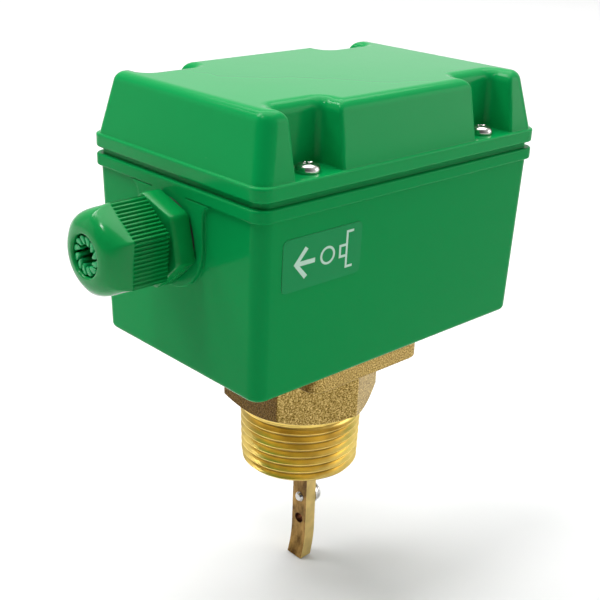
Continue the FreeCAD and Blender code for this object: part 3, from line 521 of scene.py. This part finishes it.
def cross_form(seat, along, width, depth, height):
    """Cross with tapering wings, for the driver recess in a screw head."""
    aim = Vector(along).to_track_quat("Z", "Y").to_matrix()
    mesh = bmesh.new()
    wing = width * 0.1
    ends = []
    for z, reach in ((height - depth, width * 0.24), (height + 0.0005, width * 0.5)):
        ring = []
        for turn in range(4):
            spin = Matrix.Rotation(turn * math.pi / 2, 3, "Z")
            for x, y in ((wing, -wing), (reach, -wing), (reach, wing)):
                ring.append(mesh.verts.new(Vector(seat) + aim @ (spin @ Vector((x, y, z)))))
        ends.append(ring)
    for k in range(12):
        mesh.faces.new((ends[0][k], ends[0][(k + 1) % 12], ends[1][(k + 1) % 12], ends[1][k]))
    mesh.faces.new(ends[0])
    mesh.faces.new(ends[1])
    bmesh.ops.triangulate(mesh, faces=mesh.faces)
    return new_piece("cross_form", mesh)


def pan_screw(name, r, length, head_r, head_h, seat, along):
    """Pan-head screw: along points out of the head, and the shank goes the other way."""
    screw_pitch = r * 0.34
    steps = 6
    rows = helical_rows(screw_pitch, screw_pitch * 0.55, -length, 0.0, steps, lambda d: r)
    head = [(0.0, head_r * 0.97), (head_h * 0.08, head_r)]
    for n in range(8):
        turn = math.pi / 2 * n / 7
        head.append((head_h * (0.3 + 0.7 * math.sin(turn)), head_r * max(math.cos(turn), 0) ** 0.6))

    def outline(angle):
        shank = [(distance, min(radius, r - max(0.0, r * 0.35 - distance - length)))
                 for distance, radius in rows(angle)]
        return [(-length, 0.0)] + shank + head

    screw = swept_ring(name, 28, outline, seat, along, (1, len(rows(0)), steps))
    cut_with(screw, cross_form(seat, along, head_r * 1.15, head_h * 0.62, head_h))
    return screw


washer_low, washer_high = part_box("paddle_washer")
screw_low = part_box("paddle_screw")[0]
screw_z = (washer_low.z + washer_high.z) / 2
end_short = 0.0009
blade_screw = pan_screw("blade_screw", 0.0015, washer_high.x - screw_low.x - end_short, 0.00285,
                        0.0015, (washer_high.x, 0, screw_z), (1, 0, 0))
show(blade_screw, "paddle_lever", "stainless", stainless, "paddle_screw")


def washer_outline(angle):
    """Plain washer with a smaller spring washer on its outer face."""
    hole_r, rim_r = 0.0016, washer_high.z - screw_z
    back, split, front = washer_low.x - bar_slim, washer_high.x - 0.0006, washer_high.x
    return [(back, hole_r), (back, rim_r - 0.0001), (back + 0.0001, rim_r), (split - 0.0001, rim_r),
            (split, rim_r - 0.0001), (split, 0.0027), (split + 0.0001, 0.0028), (front, 0.0028),
            (front, hole_r)]


washers = swept_ring("blade_washers", 40, washer_outline, (0, 0, screw_z), (1, 0, 0))
show(washers, "paddle_lever", "stainless", stainless, "paddle_washer")


# ---------------------------------------------------------------------- lever rod
# A stainless rod is screwed into the arm's hub and carries its swing up through the
# bellows. Its upper end is threaded for the nut that holds the trip lever.
rod_low, rod_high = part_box("lever_rod")
rod_r = rod_high.x
cap_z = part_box("bellows_cap")[0].z
rod_steps = 6
rod_top = helical_rows(0.0008, 0.0004, cap_z, rod_high.z - 0.0004, rod_steps, lambda d: rod_r)


def rod_outline(angle):
    """Plain below the bellows cap and threaded above it."""
    return ([(rod_low.z, 0), (rod_low.z, rod_r - 0.0003), (rod_low.z + 0.0003, rod_r)]
            + rod_top(angle) + [(rod_high.z, rod_r - 0.0006), (rod_high.z, 0)])


rod = swept_ring("lever_rod_steel", 36, rod_outline, (0, 0, 0), (0, 0, 1),
                 (3, 2 + len(rod_top(0)), rod_steps))
show(rod, "paddle_lever", "stainless", stainless, "lever_rod")


# ------------------------------------------------------------------------ bellows
# Thin phosphor bronze, rolled into folds and soldered to the spigot. It lets the rod
# tilt without letting the water through.
bellows_low, bellows_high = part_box("bellows")
bellows_r = bellows_high.x
fold_depth = 0.00245
fold_wall = 0.0003
fold_count = 5
fold_l = (bellows_high.z - bellows_low.z) / fold_count


def fold_outline(angle):
    """Outside of the folds upwards, then their inside downwards."""
    outside = []
    for n in range(12 * fold_count + 1):
        z = bellows_low.z + fold_l * n / 12
        wave = 0.5 - 0.5 * math.cos(2 * math.pi * n / 12)
        outside.append((z, bellows_r - fold_depth * (1 - wave)))
    return outside + [(z, r - fold_wall) for z, r in reversed(outside)]


bronze = plain_metal("phosphor_bronze", (0.62, 0.40, 0.20), 0.22)
folds = swept_ring("bronze_bellows", 72, fold_outline, (0, 0, 0), (0, 0, 1))
folds.data.materials.append(bronze)
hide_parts("bellows")
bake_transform(folds)
show(taken_from("bellows_cap", "cap", 0.0003), "paddle_lever", "drawn_brass", bright_brass,
     "bellows_cap")


# ------------------------------------------------------------------ plate gasket
# A flat rubber sheet between the casting's plate and the bottom of the housing, squeezed
# by the four screws.
def dark_soft(name, colour, roughness):
    """Rubber or unpolished plastic with a fine even grain."""
    material, tree, shader = new_material(name, colour, roughness)
    place = node(tree, "TexCoord").outputs["Object"]
    grain = node(tree, "TexNoise", Vector=place, Scale=3000.0, Detail=2.0)
    bump = node(tree, "Bump", Height=grain.outputs["Fac"], Strength=0.3, Distance=0.00002)
    tree.links.new(bump.outputs["Normal"], shader.inputs["Normal"])
    return material


black_rubber = dark_soft("black_rubber", (0.012, 0.012, 0.012), 0.62)
show(taken_from("plate_gasket", "flat_gasket", 0.00015), "housing", "black_rubber", black_rubber,
     "plate_gasket")


# ------------------------------------------------------------------ base housing
# One thick moulding in glossy green plastic, its walls drafted so that it leaves the
# mould. A flange at the rim takes the lid, and a pad on one side takes the gland.
def moulded_green(name, colour, roughness=0.13, gloss=0.042, ripple_h=0.12, crown_z=0.2):
    """Glossy moulded plastic: faint ripple from the mould, a few specks of dust, and rounder
    edges above crown_z."""
    material, tree, shader = new_material(name, colour, roughness)
    shader.inputs["Specular IOR Level"].default_value = gloss
    place = node(tree, "TexCoord").outputs["Object"]
    ripple = node(tree, "TexNoise", Vector=place, Scale=110.0, Detail=2.0)
    smear = node(tree, "TexNoise", Vector=place, Scale=35.0, Detail=3.0)
    rough = node(tree, "MapRange", Value=smear.outputs["Fac"], From_Min=0.3, From_Max=0.7,
                 To_Min=roughness * 0.75, To_Max=roughness * 1.35)
    tree.links.new(rough.outputs["Result"], shader.inputs["Roughness"])
    dust = node(tree, "TexVoronoi", Vector=place, Scale=190.0)
    near = node(tree, "MapRange", Value=dust.outputs["Distance"], From_Min=0.028, From_Max=0.018)
    rare = node(tree, "SeparateColor", Color=dust.outputs["Color"])
    kept = node(tree, "MapRange", Value=rare.outputs["Red"], From_Min=0.90, From_Max=0.93)
    speck = node(tree, "Math", Value=near.outputs["Result"])
    speck.operation = "MULTIPLY"
    tree.links.new(kept.outputs["Result"], speck.inputs[1])
    faint = node(tree, "Math", Value=speck.outputs["Value"])
    faint.operation = "MULTIPLY"
    faint.inputs[1].default_value = 0.3
    mix = node(tree, "MixRGB", Fac=faint.outputs["Value"], Color1=(*colour, 1),
               Color2=(0.5, 0.6, 0.5, 1))
    tree.links.new(mix.outputs["Color"], shader.inputs["Base Color"])
    height = node(tree, "SeparateXYZ", Vector=place)
    radius = node(tree, "MapRange", Value=height.outputs["Z"], From_Min=crown_z,
                  From_Max=crown_z + 0.003, To_Min=0.0005, To_Max=0.0014)
    soft_edges = node(tree, "Bevel", Radius=radius.outputs["Result"])
    soft_edges.samples = 8
    bump = node(tree, "Bump", Height=ripple.outputs["Fac"], Strength=ripple_h, Distance=0.00006,
                Normal=soft_edges.outputs["Normal"])
    tree.links.new(bump.outputs["Normal"], shader.inputs["Normal"])
    return material


housing_green = moulded_green("housing_green", (0.002, 0.238, 0.056))
show(taken_from("base_housing", "housing_moulding", 0.0002), "housing", "green_housing",
     housing_green, "base_housing")


# ------------------------------------------------------------- lid screw inserts
# Knurled brass bushes, pressed hot into the four corner pillars, take the lid screws.
show(taken_from("lid_inserts", "screw_bushes", 0.0001), "housing", "drawn_brass", bright_brass,
     "lid_inserts")


# --------------------------------------------------- mechanism bracket and its screws
# Pressed steel, zinc plated, folded once. Four pan-head screws go through its foot and
# the housing's floor into the casting's plate.
def islands(node_name):
    """Corners of each separate solid in a node, in metres."""
    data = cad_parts[node_name].data
    mesh = bmesh.new()
    mesh.from_mesh(data)
    bmesh.ops.remove_doubles(mesh, verts=mesh.verts, dist=2e-6)
    mesh.verts.ensure_lookup_table()
    left = set(mesh.verts)
    found = []
    while left:
        start = left.pop()
        group, edge = [start], [start]
        while edge:
            for line in edge.pop().link_edges:
                for end in line.verts:
                    if end in left:
                        left.discard(end)
                        group.append(end)
                        edge.append(end)
        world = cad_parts[node_name].matrix_world
        places = [world @ v.co for v in group]
        found.append((Vector([min(p[k] for p in places) for k in range(3)]),
                      Vector([max(p[k] for p in places) for k in range(3)])))
    mesh.free()
    return sorted(found, key=lambda box: tuple(round(v, 5) for v in box[0]))


zinc = plain_metal("zinc_steel", (0.56, 0.57, 0.56), 0.34, mottle=0.1)
show(taken_from("mechanism_bracket", "folded_bracket", 0.0002), "housing", "zinc_steel", zinc,
     "mechanism_bracket")
foot_top = 0.0271  # top of the bracket's foot
screws = [pan_screw("plate_screw", 0.002, foot_top - low.z, 0.0037, high.z - foot_top,
                    ((low.x + high.x) / 2, (low.y + high.y) / 2, foot_top), (0, 0, 1))
          for low, high in islands("body_screws")]
show(joined("plate_screws", screws), "housing", "zinc_steel", zinc, "body_screws")


# -------------------------------------------------------------------- earth terminal
# A screw and a square saddle washer on the bracket's foot clamp the earth wire.
show(taken_from("ground_clamp", "saddle_washer", 0.0001), "housing", "zinc_steel", zinc,
     "ground_clamp")
low, high = islands("ground_screw")[0]
saddle_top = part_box("ground_clamp")[1].z
earth_screw = pan_screw("earth_screw", 0.002, saddle_top - low.z, 0.0037, high.z - saddle_top,
                        ((low.x + high.x) / 2, (low.y + high.y) / 2, saddle_top), (0, 0, 1))
show(earth_screw, "housing", "zinc_steel", zinc, "ground_screw")


# ------------------------------------------------------------ trip lever and rod nut
# A zinc-plated steel plate on the rod, with a tab bent up at one end. The tab presses
# the switch's plunger and the other end carries the spring.
show(taken_from("trip_lever", "lever_plate", 0.0002), "paddle_lever", "zinc_steel", zinc,
     "trip_lever")
show(taken_from("rod_nut", "hexagon_nut", 0.0003), "paddle_lever", "zinc_steel", zinc, "rod_nut")


# ---------------------------------------------- range screw, its nut and the spring
# Turning the screw moves a keyed plate nut down and loads the spring on the lever, which
# raises the flow that trips the switch. A clip keeps the screw from rising. The lowest
# coil of the spring lies on the lever and moves with it.
low, high = islands("range_screw")[0]
range_x = (low.x + high.x) / 2
tongue_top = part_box("mechanism_bracket")[1].z
range_screw = pan_screw("setting_screw", 0.002, tongue_top - low.z, 0.0036, high.z - tongue_top,
                        (range_x, 0, tongue_top), (0, 0, 1))
show(range_screw, "range_screw", "zinc_steel", zinc, "range_screw")
show(taken_from("screw_clip", "retaining_clip", 0.0001), "range_screw", "spring_steel", zinc,
     "screw_clip")
show(taken_from("spring_nut", "plate_nut", 0.0002), "spring_nut", "zinc_steel", zinc, "spring_nut")


def tube_along(name, points, radius):
    """Round wire through a list of points, closed at both ends."""
    sides = 12
    mesh = bmesh.new()
    rings = []
    for n, point in enumerate(points):
        ahead = (points[min(n + 1, len(points) - 1)] - points[max(n - 1, 0)]).normalized()
        across = ahead.cross(Vector((0, 0, 1))).normalized()
        over = across.cross(ahead)
        rings.append([mesh.verts.new(point + (across * math.cos(t) + over * math.sin(t)) * radius)
                      for t in (2 * math.pi * k / sides for k in range(sides))])
    for first, second in zip(rings, rings[1:]):
        for k in range(sides):
            mesh.faces.new((first[k], first[(k + 1) % sides], second[(k + 1) % sides], second[k]))
    mesh.faces.new(rings[0])
    mesh.faces.new(rings[-1])
    return new_piece(name, mesh)


spring_low, spring_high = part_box("range_spring")
wire_r = 0.00043
spring_r = 0.0041
turns = 5
lever_room = 0.0019  # free height over the lever, which rises as it swings
coil_low = spring_low.z + lever_room
coil_l = spring_high.z - coil_low - 2 * wire_r
coil = []
for n in range(turns * 36 + 1):
    turn = 2 * math.pi * n / 36
    coil.append(Vector((range_x + spring_r * math.cos(turn), spring_r * math.sin(turn),
                        coil_low + wire_r + coil_l * n / (turns * 36))))
spring_wire = plain_metal("spring_steel", (0.42, 0.42, 0.43), 0.26)
spring = tube_along("range_spring_wire", coil, wire_r)
show(spring, "housing", "spring_steel", spring_wire, "range_spring")
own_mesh(spring)
wire_outline = [(wire_r * math.sin(t), spring_r + wire_r * math.cos(t))
                for t in (2 * math.pi * k / 12 for k in range(12))]
end_coil = swept_ring("spring_end_coil", 48, lambda angle: wire_outline,
                      (range_x, 0, spring_low.z + wire_r), (0, 0, 1))
show(end_coil, "paddle_lever", "spring_steel", spring_wire)


# -------------------------------------------------------------------- snap switch
# A black moulded snap switch, screwed to the bracket by two long screws, with three
# blade terminals and a small red plunger.
black_plastic = dark_soft("black_plastic", (0.018, 0.018, 0.02), 0.42)
red_plastic = new_material("red_plastic", (0.45, 0.012, 0.008), 0.3)[0]
show(taken_from("switch_body", "switch_case", 0.0002), "housing", "black_switch", black_plastic,
     "switch_body")
show(taken_from("switch_plunger", "plunger", 0.0004), "switch_plunger", "red_plunger", red_plastic,
     "switch_plunger")
show(taken_from("switch_terminals", "blades", 0.0001), "housing", "drawn_brass", bright_brass,
     "switch_terminals")
blade_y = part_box("switch_terminals")[0].y
screws = [pan_screw("blade_terminal_screw", 0.0017, high.y - blade_y, 0.003, blade_y - low.y,
                    ((low.x + high.x) / 2, blade_y, (low.z + high.z) / 2), (0, -1, 0))
          for low, high in islands("terminal_screws")]
show(joined("blade_screws", screws), "housing", "zinc_steel", zinc, "terminal_screws")
case_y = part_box("switch_body")[0].y
screws = [pan_screw("case_screw", 0.0015, high.y - case_y, 0.0028, case_y - low.y,
                    ((low.x + high.x) / 2, case_y, (low.z + high.z) / 2), (0, -1, 0))
          for low, high in islands("switch_screws")]
show(joined("case_screws", screws), "housing", "zinc_steel", zinc, "switch_screws")


# ------------------------------------------------------------------- cable gland
# Moulded nylon in the same green. The nut, a ribbed hexagon that ends in a dome, squeezes
# a ring of slanted fingers and the rubber seal inside them onto the cable. A locknut holds
# the body in the wall.
gland_green = moulded_green("gland_green", (0.002, 0.225, 0.048), 0.16, gloss=0.2)
ring_low, ring_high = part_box("gland_clamp")
gland_z = (ring_low.z + ring_high.z) / 2
stem_low, stem_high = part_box("gland_body")
seat_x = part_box("gland_washer")[0].x
hex_back, hex_front = seat_x - 0.00005, seat_x - 0.0053
hex_half, hex_round = 0.0097, 0.0014
hex_turn = math.radians(17)
mould_line = math.radians(-14)
tail_r = 0.0076
tail_steps = 12
tail_rows = helical_rows(0.0015, 0.0007, hex_back + 0.0012, stem_high.x - 0.0004, tail_steps,
                         lambda d: tail_r)


def hexagon_radius(angle, half, corner_r):
    """Distance from the axis to the rounded hexagon's side, in the direction of the angle."""
    off = (angle + math.radians(30)) % math.radians(60) - math.radians(30)
    centre = (half - corner_r) / math.cos(math.radians(30))
    tangent = math.atan2(corner_r * 0.5, centre + corner_r * math.cos(math.radians(30)))
    if abs(off) < tangent:
        return centre * math.cos(off) + math.sqrt(corner_r**2 - (centre * math.sin(off)) ** 2)
    return half / math.cos(math.radians(30) - abs(off))


def stem_outline(angle):
    """Neck, hexagon with its mould line, and threaded tail, round the cable's bore."""
    bore_r, neck = 0.0054, 0.0074
    side = hexagon_radius(angle - hex_turn, hex_half, hex_round)
    if abs(math.cos(angle - mould_line)) > 0.9998:
        side += 0.00007
    return ([(stem_low.x, bore_r), (stem_low.x, neck - 0.0003), (stem_low.x + 0.0003, neck),
             (hex_front, neck), (hex_front, side - 0.0003), (hex_front + 0.0001, side - 0.0001),
             (hex_front + 0.0003, side), (hex_back - 0.0003, side),
             (hex_back - 0.0001, side - 0.0001), (hex_back, side - 0.0003), (hex_back, tail_r),
             (hex_back + 0.0006, tail_r)]
            + tail_rows(angle) + [(stem_high.x, 0.0070), (stem_high.x, bore_r)])


stem = swept_ring("gland_stem", 180, stem_outline, (0, 0, gland_z), (1, 0, 0),
                  (13, 12 + len(tail_rows(0)), tail_steps))
show(stem, "housing", "green_gland", gland_green, "gland_body")
washer_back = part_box("gland_washer")[1].x
ring_bore_r, ring_rim_r = 0.0079, 0.0094
ring = swept_ring("gland_ring", 48, lambda angle: [(seat_x, ring_bore_r), (seat_x, ring_rim_r),
                                                   (washer_back, ring_rim_r),
                                                   (washer_back, ring_bore_r)],
                  (0, 0, gland_z), (1, 0, 0))
show(ring, "housing", "black_rubber", black_rubber, "gland_washer")
show(taken_from("gland_locknut", "locknut", 0.0003), "housing", "green_gland", gland_green,
     "gland_locknut")
show(taken_from("gland_seal", "seal_sleeve", 0.0001), "housing", "black_rubber", black_rubber,
     "gland_seal")

nut_low, nut_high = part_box("gland_nut")
nut_half, nut_round = 0.0099, 0.0008
nut_turn = math.radians(36)
dome_l = 0.0062
nut_l = nut_high.x - nut_low.x - 0.0006
ribs_per_side = 11


def nut_outline(angle):
    """Dome, ribbed hexagon and stepped bore of the nut, from its mouth inwards."""
    side = hexagon_radius(angle - nut_turn, nut_half, nut_round)
    off = (angle - nut_turn) % math.radians(60) - math.radians(30)
    along_side = math.tan(off) / math.tan(math.radians(30)) / 2
    wave = min(max(0.62 + 1.2 * math.cos(2 * math.pi * ribs_per_side * along_side), 0.0), 1.0)
    groove = (1 - wave) * 0.00042 / math.cos(off)
    rim_r, mouth_r, cone_r, back_r = 0.0054, 0.0049, 0.0069, 0.0076
    outer = [(0.0, rim_r)]
    for n in range(1, 17):
        share = (n / 16) ** 1.7
        blend = share**1.2
        base = side * blend + 0.0103 * (1 - blend)
        outer.append((dome_l * share, rim_r + (base - rim_r) * math.sqrt(1 - (1 - share) ** 2.5)))
    for distance, depth in ((0.0001, 0.35), (0.0003, 0.8), (0.0006, 1.0)):
        outer.append((dome_l + distance, side - depth * groove))
    outer += [(nut_l * 0.7, side - groove), (nut_l - 0.00025, side - groove),
              (nut_l, side - groove - 0.00025)]
    return outer + [(nut_l, back_r), (0.0076, back_r), (0.0076, cone_r), (0.0047, cone_r),
                    (0.0012, mouth_r), (0.0004, mouth_r), (0.0001, mouth_r + 0.0002),
                    (0.0, mouth_r + 0.00035)]


nut = swept_ring("domed_nut", 6 * ribs_per_side * 9, nut_outline, (nut_low.x, 0, gland_z),
                 (1, 0, 0))
show(nut, "gland_nut", "green_gland", gland_green, "gland_nut")

fingers = 12
tip_x = ring_low.x - 0.0006
mesh = bmesh.new()
# half of a finger's section: share of its depth inwards, and share of its width there
lobe = ((0.0, 0.0), (0.04, 0.45), (0.15, 0.85), (0.32, 1.0), (0.65, 0.8), (1.0, 0.5))
# distance from the tip, inner radius, outer radius, and how much of the pitch is filled
stations = ((0.0, 0.0027, 0.0044, 0.66), (0.0001, 0.0026, 0.0046, 0.76),
            (0.0004, 0.0025, 0.0047, 0.8), (0.0014, 0.0026, 0.0047, 0.86),
            (0.0054, 0.0033, 0.0063, 0.94), (ring_high.x - tip_x, 0.0033, 0.0063, 0.94))
for n in range(fingers):
    middle = 2 * math.pi * (n + 0.3) / fingers
    rings = []
    for distance, inner, outer, fill in stations:
        edge = []
        for side, steps in ((-1, lobe), (1, lobe[:0:-1])):
            for inward, width in steps:
                radius = outer + (inner - outer) * inward
                turn = middle + side * math.pi / fingers * fill * width + 0.25 * inward
                edge.append(mesh.verts.new((tip_x + distance, radius * math.cos(turn),
                                            gland_z + radius * math.sin(turn))))
        rings.append(edge)
    count = len(rings[0])
    for first, second in zip(rings, rings[1:]):
        for k in range(count):
            mesh.faces.new((first[k], first[(k + 1) % count], second[(k + 1) % count], second[k]))
    mesh.faces.new(rings[0])
    mesh.faces.new(rings[-1])
# The fingers get a lighter, glossier copy of the gland's green: painted light that brightens them
# in the shade of the mouth.
painted_light_clamp_green = moulded_green("painted_light_clamp_green", (0.008, 0.34, 0.10), 0.22, gloss=0.3)
show(new_piece("clamp_fingers", mesh), "gland_clamp", "green_gland", painted_light_clamp_green, "gland_clamp")


# ---------------------------------------------------------------- direction label
# A clear film sticker with a white arrow that shows which way the flow goes, and a
# plain paddle sign.
film, _, film_shader = new_material("label_film", (0.008, 0.235, 0.070), 0.22)
film_shader.inputs["Specular IOR Level"].default_value = 0.07
ink = new_material("white_ink", (0.42, 0.62, 0.50), 0.5)[0]
label_low, label_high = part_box("direction_label")
label_middle = (label_low + label_high) / 2
wall_slope = 1.15 / 46.3  # draft of the housing's long side
ink_t = 0.00002


def on_label(u, v, depth):
    """Point on the sticker: u along X and v up from its middle, depth into it, in metres."""
    z = label_middle.z + v
    return Vector((label_middle.x + u, label_low.y + (label_high.z - z) * wall_slope + depth, z))


def printed(mesh, outline):
    """Flat printed form on the sticker from its outline in millimetres."""
    low, high = [[mesh.verts.new(on_label(u / 1000, v / 1000, depth)) for u, v in outline]
                 for depth in (0.0, 2 * ink_t)]
    for k in range(len(outline)):
        after = (k + 1) % len(outline)
        mesh.faces.new((low[k], low[after], high[after], high[k]))
    mesh.faces.new(low)
    mesh.faces.new(high)


mesh = bmesh.new()
printed(mesh, ((-8.9, 0), (-5.6, -3.8), (-4.7, -3.1), (-7.1, -0.55), (-2.5, -0.55), (-2.5, 0.55),
               (-7.1, 0.55), (-4.7, 3.1), (-5.6, 3.8)))
for k in range(32):
    first, second = 2 * math.pi * k / 32, 2 * math.pi * (k + 1) / 32
    printed(mesh, [(1.4 + r * math.cos(t), 0.2 + 0.95 * r * math.sin(t))
                   for r, t in ((2.3, first), (2.3, second), (1.7, second), (1.7, first))])
printed(mesh, ((7.1, -4.2), (9.4, -4.2), (9.4, -3.6), (7.7, -3.6), (7.7, 4.3), (9.4, 4.3),
               (9.4, 4.9), (7.1, 4.9)))
printed(mesh, ((7.1, -1.4), (7.1, -0.8), (5.6, -0.8), (5.6, 1.2), (7.1, 1.2), (7.1, 1.8),
               (5.0, 1.8), (5.0, -1.4)))
bmesh.ops.triangulate(mesh, faces=[face for face in mesh.faces if len(face.verts) > 4])
show(new_piece("label_print", mesh), "housing", "label_film", ink)

sticker = taken_from("direction_label", "label_sticker", 0.00002)
for vertex in sticker.data.vertices:
    if vertex.co.y < on_label(0, vertex.co.z - label_middle.z, 0).y + 0.00005:
        vertex.co.y += ink_t
show(sticker, "housing", "label_film", film, "direction_label")
# The sticker's cut edges get a lighter green: a painted highlight along its rim.
film_edge_highlight = new_material("film_edge_highlight", (0.05, 0.34, 0.14), 0.3)[0]
sticker.data.materials.append(film_edge_highlight)
for face in sticker.data.polygons:
    face.material_index = 1 if abs(face.normal.y) < 0.5 else 0


# ------------------------------------------------------- lid, its gasket and screws
# The lid is a raised moulding with four corner pockets for its screws. A soft cord in
# its groove seals it on the housing's rim.
lid_green = moulded_green("lid_green", (0.002, 0.26, 0.061), gloss=0.085, ripple_h=0.02,
                          crown_z=0.0765)
show(taken_from("lid", "lid_moulding", 0.0002), "lid", "green_housing", lid_green, "lid")
show(taken_from("lid_gasket", "lid_cord", 0.0002), "lid", "black_rubber", black_rubber,
     "lid_gasket")
head_h = 0.0021
screws = [pan_screw("lid_screw", 0.0015, high.z - head_h - low.z, 0.0028, head_h,
                    ((low.x + high.x) / 2, (low.y + high.y) / 2, high.z - head_h), (0, 0, 1))
          for low, high in islands("lid_screws")]
show(joined("lid_screws_steel", screws), "lid", "stainless", stainless, "lid_screws")
